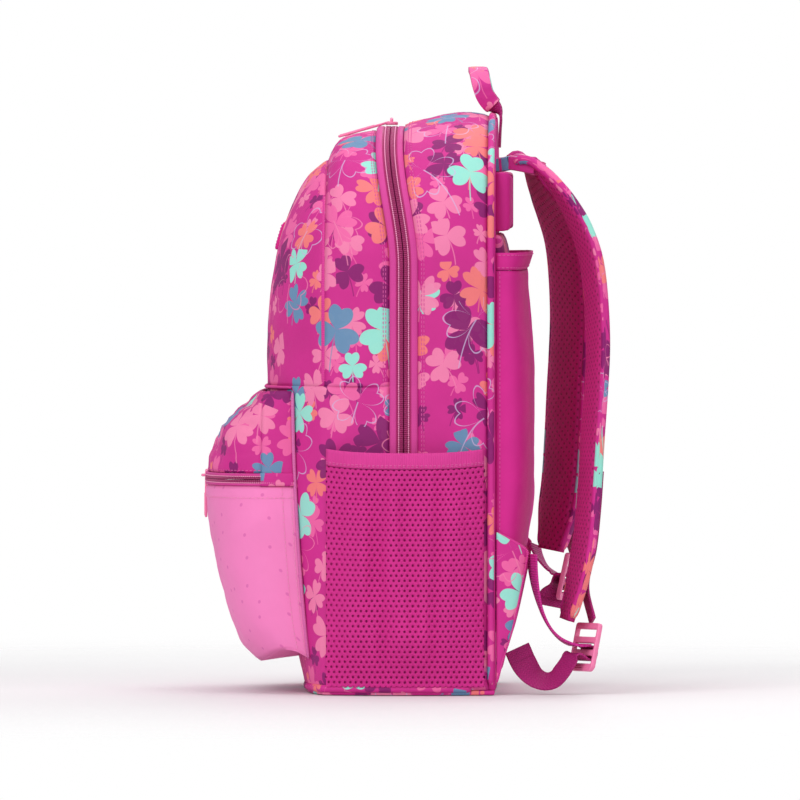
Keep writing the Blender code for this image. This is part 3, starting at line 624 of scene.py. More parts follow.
def tube(name, line, radius, look, body, sides=10, squash=1.0, facing=lambda i: BACK):
    """A round or oval cord of fabric along a line, with rounded ends. facing(i) points along its height."""
    rings, cloth = [], []
    for i, (centre, run) in enumerate(zip(line, runs_of(line))):
        along = heading(line, i)
        side = along.cross(facing(i)).normalized()
        normal = side.cross(along).normalized()
        end = min(i, len(line) - 1 - i)
        r = radius * (0.55 if end == 0 else 0.9 if end == 1 else 1.0)
        angles = [2 * math.pi * k / sides for k in range(sides)]
        rings.append([centre + side * r * math.cos(a) + normal * r * squash * math.sin(a) for a in angles])
        cloth += [(radius * angle, run, 0.0) for angle in angles]
    sweep(name, rings, cloth, look, body, flipped=True)


def ribbon(name, line, across, width, thickness, look, body, round_edge=0.5):
    """A flat band along a line with rounded edges. across(i) points along its width, width(i) may vary."""
    half = 6  # points on each face
    rings, cloth = [], []
    for i, (centre, run) in enumerate(zip(line, runs_of(line))):
        along = heading(line, i)
        side = across(i)
        side = (side - along * side.dot(along)).normalized()
        face = along.cross(side)
        w = (width(i) if callable(width) else width) / 2
        ring = []
        for sign in (1, -1):
            for share in [sign * (1 - 2 * (k + 0.5) / half) for k in range(half)]:
                edge = (1 - abs(share) ** 4) ** 0.5
                rise = thickness / 2 * (round_edge * edge + 1 - round_edge)
                ring.append(centre + side * (w * share) + face * (sign * rise))
                cloth.append((w * share, run, 0.0))
        rings.append(ring)
    return sweep(name, rings, cloth, look, body, crisp=60)


def plate(name, outlines, thickness, bevel, look, body, matrix):
    """A flat plate with holes and rounded edges. The first outline is the plate, the others are its holes."""
    curve = bpy.data.curves.new(name, "CURVE")
    curve.dimensions = "2D"
    curve.fill_mode = "BOTH"
    curve.extrude = thickness / 2 - bevel
    curve.bevel_depth = bevel
    curve.bevel_resolution = 2
    curve.offset = -bevel
    for outline in outlines:
        line = curve.splines.new("POLY")
        line.points.add(len(outline) - 1)
        for point, (x, y) in zip(line.points, outline):
            point.co = (x, y, 0.0, 1.0)
        line.use_cyclic_u = True
    holder = bpy.data.objects.new(name + "_curve", curve)
    bpy.context.scene.collection.objects.link(holder)
    depsgraph = bpy.context.evaluated_depsgraph_get()
    mesh = bpy.data.meshes.new_from_object(holder.evaluated_get(depsgraph))
    bpy.data.objects.remove(holder)
    mesh.name = name
    mesh.materials.clear()
    store_cloth(mesh, [v.co for v in mesh.vertices])
    mesh.transform(matrix)
    mesh.shade_smooth()
    mesh.set_sharp_from_angle(angle=math.radians(45))
    add_piece(name, mesh, look, body)


def rounded(outline, radius):
    """An outline whose corners are cut to arcs."""
    made = []
    count = len(outline)
    for i, corner in enumerate(outline):
        corner = Vector(corner)
        before, after = Vector(outline[i - 1]) - corner, Vector(outline[(i + 1) % count]) - corner
        r = min(radius, before.length / 2.2, after.length / 2.2)
        a, b = corner + before.normalized() * r, corner + after.normalized() * r
        made += [tuple(bend(a, corner, b, t)) for t in between(0.0, 1.0, 5)]
    return made


# ---- Materials ----
def shade(colour, factor, lift=0.0):
    return [min(c * factor + lift, 1.0) for c in colour]


class Look:
    """A node material being built. Inputs may be numbers, colours or sockets."""

    def __init__(self, name):
        self.material = bpy.data.materials.new(name)
        self.material.use_nodes = True
        self.tree = self.material.node_tree
        self.surface = self.tree.nodes["Principled BSDF"]

    def feed(self, socket, value):
        if value is None:
            return
        if isinstance(value, bpy.types.NodeSocket):
            self.tree.links.new(value, socket)
        elif socket.type == "RGBA" and len(value) == 3:
            socket.default_value = (*value, 1.0)
        else:
            socket.default_value = value

    def node(self, kind, *inputs, **settings):
        made = self.tree.nodes.new("ShaderNode" + kind)
        for key, value in settings.items():
            setattr(made, key, value)
        for socket, value in zip(made.inputs, inputs):
            self.feed(socket, value)
        return made

    def math(self, operation, a, b=None, c=None):
        return self.node("Math", a, b, c, operation=operation).outputs[0]

    def times(self, a, b):
        return self.math("MULTIPLY", a, b)

    def scaled(self, value, factor, offset):
        return self.math("MULTIPLY_ADD", value, factor, offset)

    def clamp(self, value):
        return self.node("Clamp", value).outputs[0]

    def vector(self, operation, a, b=None, c=None):
        return self.node("VectorMath", a, b, c, operation=operation).outputs[0]

    def mix(self, factor, a, b):
        made = self.node("Mix", data_type="RGBA")
        for index, value in ((0, factor), (6, a), (7, b)):
            self.feed(made.inputs[index], value)
        return made.outputs[2]

    def steps(self, factor, stops):
        """A ramp that holds each stop's colour up to the next stop."""
        made = self.node("ValToRGB", factor)
        made.color_ramp.interpolation = "CONSTANT"
        elements = made.color_ramp.elements
        while len(elements) < len(stops):
            elements.new(0.5)
        for element, (position, colour) in zip(elements, stops):
            element.position = position
            element.color = (*colour, 1.0)
        return made.outputs[0]

    def cloth(self):
        return self.node("Attribute", attribute_name="cloth").outputs["Vector"]

    def object_place(self):
        return self.node("TexCoord").outputs["Object"]

    def noise(self, place, scale, detail):
        return self.node("TexNoise", place, None, scale, detail, 0.55).outputs[0]

    def dyed(self, place, scale, detail, base, dark, light):
        """Uneven dye: patches between a darker and a lighter shade of the base colour."""
        return self.mix(self.noise(place, scale, detail), shade(base, dark), shade(base, light))

    def cells(self, place, randomness):
        """A point in each unit square, moved from its middle by chance."""
        found = self.node("TexVoronoi", place, voronoi_dimensions="2D", feature="F1")
        found.inputs["Scale"].default_value = 1.0
        found.inputs["Randomness"].default_value = randomness
        return found

    def weave(self, place, across, along):
        """Height of a plain weave with threads of two pitches, 0 to 1."""
        parts = self.node("SeparateXYZ", place)
        waves = [self.math("SINE", self.times(socket, 2 * math.pi / pitch))
                 for socket, pitch in ((parts.outputs[0], across), (parts.outputs[1], along))]
        return self.scaled(self.times(waves[0], waves[1]), 0.5, 0.5)

    def paler_where_raised(self, colour, paler, factor, offset, share):
        """The colour, made paler where the surface stands out."""
        raised = self.node("NewGeometry").outputs["Pointiness"]
        raised = self.clamp(self.scaled(raised, factor, offset))
        return self.mix(self.times(raised, share), colour, paler)

    def bump(self, height, depth, strength=1.0, after=None):
        made = self.node("Bump")
        self.feed(made.inputs["Strength"], strength)
        self.feed(made.inputs["Distance"], depth)
        self.feed(made.inputs["Height"], height)
        self.feed(made.inputs["Normal"], after)
        return made.outputs[0]

    def finish(self, colour, roughness, normal, sheen=0.0, specular=0.3):
        """Joins the colour, gloss and bump to the surface. The sheen takes the cloth's own colour."""
        for name, value in (("Base Color", colour), ("Roughness", roughness), ("Normal", normal),
                            ("Sheen Weight", sheen * 0.5), ("Sheen Tint", colour),
                            ("Specular IOR Level", specular)):
            self.feed(self.surface.inputs[name], value)
        return self.material


def clover_layer(look, place, cell, size, shift):
    """Scattered clovers: masks of their heart-shaped leaves, outlines and stems, and a value by chance."""
    sway = 1.7  # how far a clover may turn, in radians
    sharp = cell / 0.0005
    spot = look.vector("MULTIPLY_ADD", place, (1 / cell,) * 3, (shift, shift * 1.7, 0.0))
    found = look.cells(spot, 0.62)
    offset = look.node("SeparateXYZ", look.vector("SUBTRACT", spot, found.outputs["Position"]))
    chance = look.node("SeparateColor", found.outputs["Color"])
    turn, bulk, pick = chance.outputs[:3]
    x, y = offset.outputs[0], offset.outputs[1]
    radius = look.math("SQRT", look.math("ADD", look.times(x, x), look.times(y, y)))
    lean = look.scaled(turn, sway, math.pi / 2 - sway / 2)
    angle = look.math("ADD", look.math("ARCTAN2", y, x), lean)
    # Each clover has three leaves or four. swing goes from 0 in the middle of a leaf to 1 at its sides.
    four = look.math("GREATER_THAN", look.math("FRACT", look.times(bulk, 7.3)), 0.5)
    leaves = look.math("ADD", 3.0, four)
    sector = look.math("FRACT", look.times(angle, look.math("DIVIDE", leaves, 2 * math.pi)))
    swing = look.times(look.math("ABSOLUTE", look.math("SUBTRACT", sector, 0.5)), 2.06)
    swing = look.math("MINIMUM", swing, 1.0)
    body = look.math("POWER", look.math("SUBTRACT", 1.0, look.math("POWER", swing, 2.6)), 0.62)
    dent = look.math("MAXIMUM", look.scaled(swing, -1 / 0.42, 1.0), 0.0)
    dent = look.scaled(look.math("POWER", dent, 1.4), -0.24, 1.0)
    full = look.times(look.scaled(bulk, 0.30, 0.70), size)
    leaf_edge = look.times(full, look.times(body, dent))
    clear = look.math("SUBTRACT", leaf_edge, radius)
    leaf = look.clamp(look.scaled(clear, sharp, 0.5))
    line = look.clamp(look.scaled(look.math("ABSOLUTE", clear), -sharp, 1.5))
    # The stem runs down from the middle in a slight curl.
    down = look.times(radius, look.math("COSINE", angle))
    away = look.times(radius, look.math("SINE", angle))
    curl = look.times(look.times(down, down), look.math("SUBTRACT", turn, 0.5))
    away = look.math("ABSOLUTE", look.math("SUBTRACT", away, curl))
    stem = look.clamp(look.scaled(away, -sharp, 1.35))
    stem = look.times(stem, look.math("GREATER_THAN", down, 0.0))
    return leaf, line, stem, pick


def printed_look(name, base):
    """Woven polyester with scattered clovers."""
    look = Look(name)
    place = look.cloth()
    colour = look.dyed(place, 22, 2, base, 0.86, 1.14)
    for cell, size, shift, inks, kept in ((0.021, 0.46, 3.1, SMALL_INKS, 0.50),
                                          (0.031, 0.54, 9.4, MIDDLE_INKS, 0.82),
                                          (0.046, 0.50, 17.3, LARGE_INKS, 0.70)):
        leaf, _, stem, pick = clover_layer(look, place, cell, size, shift)
        ink = look.steps(pick, inks)
        shown = look.math("LESS_THAN", look.math("FRACT", look.times(pick, 17.7)), kept)
        mask = look.times(look.math("MAXIMUM", leaf, look.times(stem, 0.8)), shown)
        colour = look.mix(look.times(mask, 0.96), colour, ink)
    # The largest clovers are drawn in outline only.
    _, line, stem, pick = clover_layer(look, place, 0.064, 0.44, 29.8)
    shown = look.math("GREATER_THAN", pick, 0.55)
    drawn = look.times(look.times(look.math("MAXIMUM", line, stem), shown), 0.75)
    colour = look.mix(drawn, colour, look.steps(pick, LINE_INKS))
    threads = look.weave(place, 0.0011, 0.0009)
    colour = look.mix(look.times(threads, 0.16), colour, (0.0, 0.0, 0.0))
    creases = look.noise(place, 90, 3)
    normal = look.bump(threads, 0.00012, 0.6, look.bump(creases, 0.0012, 0.25))
    return look.finish(colour, look.scaled(creases, 0.16, 0.55), normal, sheen=0.25)


def plain_look(name, base, pitch=0.0010, sheen=0.3, roughness=0.66, depth=0.00014, pale_ridges=0.0):
    """Woven fabric of one dye: weave, uneven dye and soft creases."""
    look = Look(name)
    place = look.cloth()
    colour = look.dyed(place, 30, 3, base, 0.88, 1.12)
    threads = look.weave(place, pitch, pitch * 0.85)
    colour = look.mix(look.times(threads, 0.22), colour, shade(base, 0.55))
    if pale_ridges:
        colour = look.paler_where_raised(colour, shade(base, 1.35, 0.04), 12.0, -6.2, pale_ridges)
    creases = look.noise(place, 80, 3)
    normal = look.bump(threads, depth, 0.8, look.bump(creases, 0.0010, 0.25))
    return look.finish(colour, look.scaled(creases, 0.2, roughness - 0.1), normal, sheen, specular=0.15)


def rose_look():
    """Light pink pocket cloth with a sparse scatter of small marks."""
    look = Look("rose_fabric")
    place = look.cloth()
    colour = look.dyed(place, 14, 3, ROSE, 0.90, 1.12)
    found = look.cells(look.vector("MULTIPLY", place, (1 / 0.019,) * 3), 0.75)
    dot = look.clamp(look.scaled(found.outputs["Distance"], -30.0, 2.6))
    colour = look.mix(look.times(dot, 0.55), colour, (0.62, 0.09, 0.36))
    threads = look.weave(place, 0.0010, 0.0009)
    colour = look.mix(look.times(threads, 0.10), colour, (0.55, 0.08, 0.30))
    creases = look.noise(place, 70, 3)
    normal = look.bump(threads, 0.00012, 0.7, look.bump(creases, 0.0012, 0.3))
    return look.finish(colour, look.scaled(creases, 0.15, 0.52), normal, sheen=0.3)


def ribbed_look(name, base, pitch, zigzag=0.0, contrast=0.35, depth=0.0003):
    """Woven tape or webbing with ribs across its length, which may run in a zigzag of a given width."""
    look = Look(name)
    place = look.cloth()
    parts = look.node("SeparateXYZ", place)
    along = look.times(parts.outputs[1], 2 * math.pi / pitch)
    if zigzag:
        shift = look.times(look.math("PINGPONG", parts.outputs[0], zigzag / 2), 2 * math.pi / pitch)
        along = look.math("ADD", along, shift)
    rib = look.scaled(look.math("SINE", along), 0.5, 0.5)
    colour = look.dyed(place, 40, 2, base, 0.88, 1.12)
    # The grooves between the ribs are darkened: painted shade in the grooves.
    groove = look.times(look.math("SUBTRACT", 1.0, rib), contrast)
    colour = look.mix(groove, colour, shade(base, 0.45))
    fibre = look.noise(look.vector("MULTIPLY", place, (2600.0, 500.0, 500.0)), 1.0, 1)
    normal = look.bump(rib, depth, 0.9, look.bump(fibre, 0.0001, 0.3))
    return look.finish(colour, look.scaled(rib, -0.12, 0.6), normal, sheen=0.1, specular=0.2)


def air_mesh_look(name, base):
    """Spacer mesh: a knitted face with small staggered holes."""
    look = Look(name)
    place = look.cloth()
    parts = look.node("SeparateXYZ", place)
    waves = []
    for slant in (1.0, -1.0):
        rise = look.times(parts.outputs[1], 2 * math.pi / 0.0066)
        waves.append(look.math("SINE", look.scaled(parts.outputs[0], slant * 2 * math.pi / 0.0080, rise)))
    holes = look.clamp(look.scaled(look.math("ADD", waves[0], waves[1]), 0.9, -0.75))
    colour = look.dyed(place, 30, 2, base, 0.85, 1.15)
    # The holes are darkened: painted shade in the recesses of the mesh.
    colour = look.mix(look.times(holes, 0.8), colour, shade(base, 0.28))
    fibre = look.weave(place, 0.0009, 0.0007)
    solid = look.math("SUBTRACT", 1.0, holes)
    normal = look.bump(solid, 0.0007, 0.9, look.bump(fibre, 0.0001, 0.5))
    return look.finish(colour, 0.78, normal, sheen=0.35)


def plastic_look(name, base, roughness=0.36):
    """Moulded plastic with a fine grain, uneven gloss and paler edges where the surface stands out."""
    look = Look(name)
    place = look.object_place()
    grain = look.noise(place, 1800, 2)
    patches = look.noise(place, 160, 3)
    colour = look.mix(patches, shade(base, 0.92), shade(base, 1.06))
    colour = look.paler_where_raised(colour, shade(base, 1.2, 0.06), 9.0, -4.8, 0.4)
    normal = look.bump(grain, 0.00006, 0.5)
    return look.finish(colour, look.scaled(patches, 0.18, roughness - 0.06), normal, specular=0.5)


def floor_look():
    """Matt pale paper that fades out with the distance from the middle, so that it has no visible edge."""
    look = Look("studio_floor")
    place = look.object_place()
    colour = look.mix(look.noise(place, 3, 2), (0.77, 0.76, 0.77), (0.80, 0.79, 0.80))
    far = look.node("VectorMath", place, operation="LENGTH").outputs["Value"]
    fade = look.node("MapRange", far, *FLOOR_FADE, 1.0, 0.0, interpolation_type="SMOOTHSTEP")
    look.feed(look.surface.inputs["Alpha"], fade.outputs[0])
    return look.finish(colour, 0.55, look.bump(look.noise(place, 60, 2), 0.0002, 0.2), specular=0.25)


LOOKS = {
    "printed": printed_look("printed_fabric", MAGENTA),
    "plain": plain_look("plain_fabric", (0.65, 0.024, 0.268), sheen=0.1),
    "rose": rose_look(),
    "mesh": plain_look("pocket_mesh", (0.60, 0.022, 0.240), pitch=0.0007, roughness=0.6, pale_ridges=0.2),
    "net_backing": plain_look("net_backing", (0.50, 0.016, 0.195), pitch=0.0016, sheen=0.1),
    "binding": ribbed_look("binding_tape", (0.70, 0.045, 0.300), 0.0014, contrast=0.16),
    "edging": ribbed_look("pocket_edging", (0.72, 0.16, 0.44), 0.0012, contrast=0.2),
    "webbing": ribbed_look("webbing", (0.42, 0.018, 0.175), 0.0022, zigzag=0.0030),
    "ribbed_webbing": ribbed_look("ribbed_webbing", (0.60, 0.022, 0.27), 0.0020, contrast=0.45, depth=0.0005),
    "tape": ribbed_look("zip_tape", (0.64, 0.055, 0.30), 0.0012, zigzag=0.0014, contrast=0.2, depth=0.0001),
    # The tape's deep middle under the teeth, darkened: painted shade.
    "tape_painted_shade": ribbed_look("zip_tape_painted_shade", (0.43, 0.022, 0.155), 0.0012, zigzag=0.0014, depth=0.0001),
    "coil": plastic_look("coil_nylon", (0.34, 0.014, 0.125), 0.42),
    "thread": plain_look("thread", (0.74, 0.12, 0.40), pitch=0.0004, depth=0.00005),
    "thread_light": plain_look("thread_light", (0.85, 0.30, 0.52), pitch=0.0004, depth=0.00005),
    "plastic": plastic_look("slider_plastic", (0.83, 0.19, 0.39)),
    "air_mesh": air_mesh_look("strap_air_mesh", (0.47, 0.014, 0.165)),
    "lining": plain_look("lining", (0.33, 0.045, 0.17), pitch=0.0012),
    "board": plastic_look("board", (0.055, 0.05, 0.06), 0.6),
}


# ---- Body ----
def build_body():
    rear = Panel(gusset_rows(ZIP_REAR_EDGE_Y, REAR_SEAM_Y - 0.0016, FOOT_Z))
    rear.slack(0.0016, grain=(11, 18), seed=1.0, crown=0.0012)
    rear.build("rear_gusset", "printed", "pack", 0.0020, print_at=(rear.v, rear.u))
    rear.stitch("zip_rear_topstitch", "pack", rows=(0.7, 1.15))

    rows = []
    for z in between(FOOT_Z, FLAP_LINE_Z, 58):
        rows.append([(x, y, z) for x, y in spaced(shell_plan(ZIP_FRONT_EDGE_Y, z, 10, 80), 121)])
    lower = Panel(rows).slack(0.0010, seed=2.0, butted=("head",))
    lower.build("lower_front_shell", "printed", "pack", 0.0020, print_at=(lower.run, lower.v))

    rim = [Vector((x, REAR_SEAM_Y, z)) for x, z in arch(REAR_SEAM_Y, 0.008, 281)]
    tube("rear_piping", rim, 0.0027, "printed", "pack")

    grid = arched_grid(REAR_SEAM_Y, FOOT_Z, 0.0016, 60)
    back = Panel([[(x, PANEL_REAR_Y, z) for x, z in reversed(row)] for row in grid])
    back.slack(0.0004, seed=3.0, tuck=0.0)
    back.build("back_panel", "plain", "pack", 0.0068)

    plan = shell_plan(REAR_SEAM_Y + 0.0030, 0.0, 30, 50, inset=GAP)
    plate("bottom_panel", [plan], FOOT_Z - GAP, 0.0012, "printed", "pack",
          Matrix.Translation((0.0, 0.0, (FOOT_Z - GAP) / 2)))
    edge = [Vector((*p, 0.0048)) for p in spaced(plan[4:-4], 260)]
    tube("base_piping", edge, 0.0030, "printed", "pack", facing=lambda i: UP)

    swollen_pad("laptop_divider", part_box("laptop_divider"), "lining", channels=3)
    for name in ("base_board", "back_board"):
        mesh = frame["nodes"][name].data
        mesh.materials.clear()
        mesh.materials.append(LOOKS["board"])


def build_flap():
    side = Panel(gusset_rows(FRONT_SEAM_Y + 0.0004, ZIP_FRONT_EDGE_Y, FLAP_LINE_Z))
    side.slack(0.0014, grain=(12, 20), seed=4.0, crown=0.0010, butted=("start", "end"))
    # On the right the print runs on from the lower shell, across the fold line.
    side.build("front_gusset", "printed", "main_flap", 0.0020,
               print_at=(side.sides["head"], side.run + FLAP_LINE_Z - FOOT_Z))
    side.stitch("zip_front_topstitch", "main_flap", rows=(-0.7, -1.15))

    grid = arched_grid(FRONT_SEAM_Y, FLAP_LINE_Z, 0.0, 70)
    front = Panel([[(x, front_surface_y(x, z), z) for x, z in row] for row in grid])
    front.slack(0.0018, grain=(13, 13), seed=5.0, butted=("foot",))
    middle = side.sides["head"].max() + front.run[0, -1] / 2
    front.build("front_panel", "printed", "main_flap", 0.0020,
                print_at=(front.u + middle, front.v + FLAP_LINE_Z - FOOT_Z))

    # Inside, a tape binds the seam between the gusset and the front.
    seam = arch(FRONT_SEAM_Y, FLAP_LINE_Z + 0.0010, 201, 0.0030)
    seam = [Vector((x, FRONT_SEAM_Y + 0.0004, z)) for x, z in seam]
    tube("front_seam_tape", seam, 0.0024, "binding", "main_flap", sides=8)

    label = Panel([[(x, front_surface_y(x, z) - 0.0028, z) for x in between(0.034, -0.034, 28)]
                   for z in between(0.3430, 0.3640, 10)])
    label.slack(0.0002, seed=6.0, tuck=0.0006)
    label.build("label_patch", "plain", "main_flap", 0.0022)
    sewn = [label.line(row=1), label.line(row=-1), label.line(column=1), label.line(column=-1)]
    stitching("label_stitches", sewn, "main_flap", pitch=0.0026)


# ---- Zips ----
def zip_half(name, frames, across, side, gauge, body):
    """Half of a zip along (centre, out) frames: its tape, its coil teeth and the row of light thread.

    across points from one half to the other, and side says which of them this one is.
    """
    def at(frame, place):
        centre, out = frame
        return centre + across * (side * place[0]) + out * place[1]

    section = gauge["section"]
    cloth = [(a, run, 0.0) for run in runs_of([centre for centre, _ in frames]) for a, _ in section]
    rings = [[at(frame, place) for place in section] for frame in frames]
    # The faces that lie deep under the teeth get the darker look: painted shade.
    tape = sweep(name, rings, cloth, "tape", body, flipped=side > 0, ends=False, crisp=50,
                 inlay=("tape_painted_shade", gauge["deep"]))
    teeth = []
    for point, out, along in strung(frames, TOOTH_PITCH):
        # The paleness lies where a surface stands out of its normals' side, so teeth turned inside out have
        # none.
        wide = along.cross(out).normalized() * (1 if gauge["pale_ridges"] else -1)
        teeth.append((at((point, out), gauge["tooth"]), wide, along, out))
    scattered(name + "_teeth", bean(*gauge["tooth_size"]), teeth, "coil", body)
    row = [(at(frame, gauge["thread"]), frame[1]) for frame in frames]
    stitching(name + "_coil_thread", [row], body, "thread_light", COIL_THREAD_PITCH, 0.96,
              gauge["thread_width"])
    return tape


def build_main_zip():
    line = [Vector((x, 0.0, z)) for x, z in arch(ZIP_Y, FLAP_LINE_Z, 301)]
    upper = [(Vector(leaned(p.x, ZIP_Y, p.z)), BACK.cross(heading(line, i))) for i, p in enumerate(line)]
    zip_half("zip_rear_half", upper, BACK, 1, MAIN_GAUGE, "pack")
    zip_half("zip_front_half", upper, BACK, -1, MAIN_GAUGE, "main_flap")
    for label, side in SIDES:
        low = [(Vector((side * half_width(ZIP_Y), ZIP_Y, z)), Vector((side, 0.0, 0.0)))
               for z in between(FOOT_Z, FLAP_LINE_Z, 80)][::side]
        rear = zip_half(f"zip_end_{label}_rear", low, BACK, 1, MAIN_GAUGE, "pack")
        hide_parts(f"zip_end_{label}")
        zip_half(f"zip_end_{label}_front", low, BACK, -1, MAIN_GAUGE, "pack")


def build_slider(name, out, along):
    """A zip slider: a waisted plate with a raised crown for its pull."""
    low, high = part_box(name)
    turn = Matrix((along, out.cross(along), out)).transposed().to_4x4()
    place = Matrix.Translation((low + high) / 2) @ turn
    outline = rounded([(-0.0066, 0.0040), (-0.0066, -0.0040), (-0.0020, -0.0050), (0.0066, -0.0028),
                       (0.0066, 0.0028), (-0.0020, 0.0050)], 0.0016)
    plate(name, [outline], 0.0026, 0.0008, "plastic", name, place @ Matrix.Translation((0, 0, -0.0006)))
    crown = ((-0.0046, 0.0002), (-0.0040, 0.0018), (-0.0018, 0.0027), (0.0018, 0.0027), (0.0040, 0.0018),
             (0.0046, 0.0002))
    bridge = smooth_line([place @ Vector((x, 0.0, z)) for x, z in crown], 16)
    tube(name + "_bridge", bridge, 0.0011, "plastic", name, facing=lambda i: out.cross(along))


def build_pull(name, root, length, droop):
    """A moulded pull tab with an eye at its root, a raised rim and grip ribs."""
    half, neck, face = 0.0045, 0.0020, 0.0009
    outline = rounded([(-neck, 0.0014), (-neck, -0.0045), (-half, -0.0085), (-half, -length),
                       (half, -length), (half, -0.0085), (neck, -0.0045), (neck, 0.0014)], 0.0022)
    place = Matrix.Translation(root) @ Matrix.Rotation(math.radians(droop), 4, "X")
    plate(name, [outline], 2 * face, 0.0006, "plastic", name, place)
    inner, top, end = half - 0.0015, -0.0110, -length + 0.0018
    ring = rounded([(-inner, top), (-inner, end), (inner, end), (inner, top)], 0.0014)
    axes = place.to_3x3().transposed()
    rim = [place @ Vector((x, y, face)) for x, y in ring + ring[:1]]
    tube(name + "_rim", rim, 0.0005, "plastic", name, sides=6, facing=lambda i: axes[2])
    ribs = [(place @ Vector((0.0, -length + 0.0055 + 0.0021 * k, face)), *axes) for k in range(5)]
    scattered(name + "_grip", bean(0.0048, 0.0009, 0.0008), ribs, "plastic", name)


def build_sliders():
    top = Vector(leaned(0.0, ZIP_Y, crown_height(ZIP_Y)))
    for label, side in SIDES:
        build_slider(f"main_slider_{label}", UP, Vector((side, 0.0, 0.0)))
        build_pull(f"main_pull_{label}", Vector((side * 0.009, top.y - 0.0030, top.z + 0.0034)), 0.040, 16)
    build_slider("pocket_slider", -BACK, Vector((1.0, 0.0, 0.0)))
    low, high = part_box("pocket_slider")
    build_pull("pocket_pull", (low + high) / 2 + Vector((0.0, 0.0, -0.0030)), 0.030, 90)


# ---- Front pocket ----
def pocket_frames(z, first, last, count):
    """(centre, out) pairs round the pocket at a height."""
    line = [Vector(p) for p in pocket_plan(z, first, last, count)]
    return [(point, UP.cross(heading(line, i)).normalized()) for i, point in enumerate(line)]


def build_pocket():
    rows = []
    for z in between(POCKET_LINE[0][0], POCKET_ZIP_Z - POCKET_TAPE_HALF - GAP, 40):
        rear, depth = pocket_depth(z)
        row = []
        for x, y, _ in pocket_plan(z, 0.0, 1.0, 121):
            # The sides' bottom edge rises between the front corners and the rear seams.
            forward = (rear - y) / depth
            lift = 0.0050 * (1 - forward) + 0.0090 * math.sin(math.pi * forward)
            row.append((x, y, z + lift * float(smooth_step((0.070 - z) / 0.048))))
        rows.append(row)
    panel = Panel(rows)
    sag = 0.0012 * np.sin(np.pi * panel.v / panel.v.max()) * smooth_step(panel.edge_u / 0.04)
    panel.push(sag).slack(0.0026, grain=(13, 18), seed=8.0, pucker=0.0008, butted=("start", "end"))
    panel.build("pocket_panel", "rose", "pack", 0.0014)
    foot = panel.points[0]
    inner = np.array([(x * 0.97, front_surface_y(x * 0.97, z) - 0.0008, z + 0.0040) for x, y, z in foot])
    base = Panel([(1 - share) * foot + share * inner for share in between(1.0, 0.0, 12)])
    base.slack(0.0012, grain=(20, 20), seed=8.5, tuck=0.0)
    base.build("pocket_base", "rose", "pack", 0.0012)
    panel.stitch("pocket_stitches", "pack", rows=(-2.6,), columns=(1.2, 3.6, -1.2, -3.6),
                 look="thread_light")
    lower = pocket_frames(POCKET_ZIP_Z - 0.0002, 0.0, 1.0, 201)
    zip_half("pocket_zip_lower_tape", lower, UP, -1, POCKET_GAUGE, "pack")

    for label, side in SIDES:
        shoulder = Panel([pocket_side(z, POCKET_HINGE_Y + 0.0001, side, 10)
                          for z in between(POCKET_ZIP_Z + GAP, LID_TOP_Z, 22)])
        shoulder.slack(0.0008, grain=(20, 20), seed=9.0 + side, tuck=0.0006,
                       butted=("end",) if side > 0 else ("start",))
        shoulder.build(f"pocket_shoulder_{label}", "printed", "pack", 0.0016,
                       print_at=(shoulder.run, shoulder.v))
        stop = Panel([pocket_side(z, POCKET_HINGE_Y - 0.0010, side, 12)
                      for z in between(POCKET_ZIP_Z - 0.0050, POCKET_ZIP_Z + 0.0052, 8)])
        stop.push(np.full(stop.u.shape, 0.0014)).slack(0.0001, seed=3.0, tuck=0.0006)
        stop.build(f"pocket_zip_stop_{label}", "printed", "pack", 0.0012)
        edge = [Vector(pocket_plan(z, 0.0, 0.02, 3)[0]) * Vector((side, 1, 1))
                for z in between(0.0272, 0.2330, 70)]
        tube(f"pocket_seam_{label}", edge, 0.0014, "edging", "pack", sides=8)

    seam = [Vector((x, front_surface_y(x, POCKET_HINGE_Z) - 0.0013, POCKET_HINGE_Z))
            for x in between(0.121, -0.121, 90)]
    tube("pocket_top_binding", seam, 0.0013, "binding", "pack", sides=8)


def build_lid():
    heights = between(POCKET_ZIP_Z + POCKET_TAPE_HALF + GAP, LID_TOP_Z, 30)
    cuts = [pocket_cut(z, POCKET_HINGE_Y) for z in heights]
    lid = Panel([pocket_plan(z, cut, 1.0 - cut, 91) for z, cut in zip(heights, cuts)])
    folds = noise_over(lid.u, lid.v, 9, 55, 12.0) * smooth_step(lid.edge / 0.014)
    lid.push(0.0030 * folds)
    lid.slack(0.0018, grain=(24, 30), seed=13.0, pucker=0.0008, butted=("start", "end"))
    # The print runs on from the right shoulder.
    shoulder = np.array([[length_of(pocket_plan(z, 0.0, cut, 20))] for z, cut in zip(heights, cuts)])
    lid.build("pocket_lid", "printed", "pocket_lid", 0.0016,
              print_at=(lid.run + shoulder, lid.v + POCKET_TAPE_HALF))
    lid.stitch("lid_stitches", "pocket_lid", rows=(1.0,))
    cut = pocket_cut(POCKET_ZIP_Z, POCKET_HINGE_Y)
    upper = pocket_frames(POCKET_ZIP_Z + 0.0002, cut, 1.0 - cut, 181)
    zip_half("lid_zip_tape", upper, UP, 1, POCKET_GAUGE, "pocket_lid")


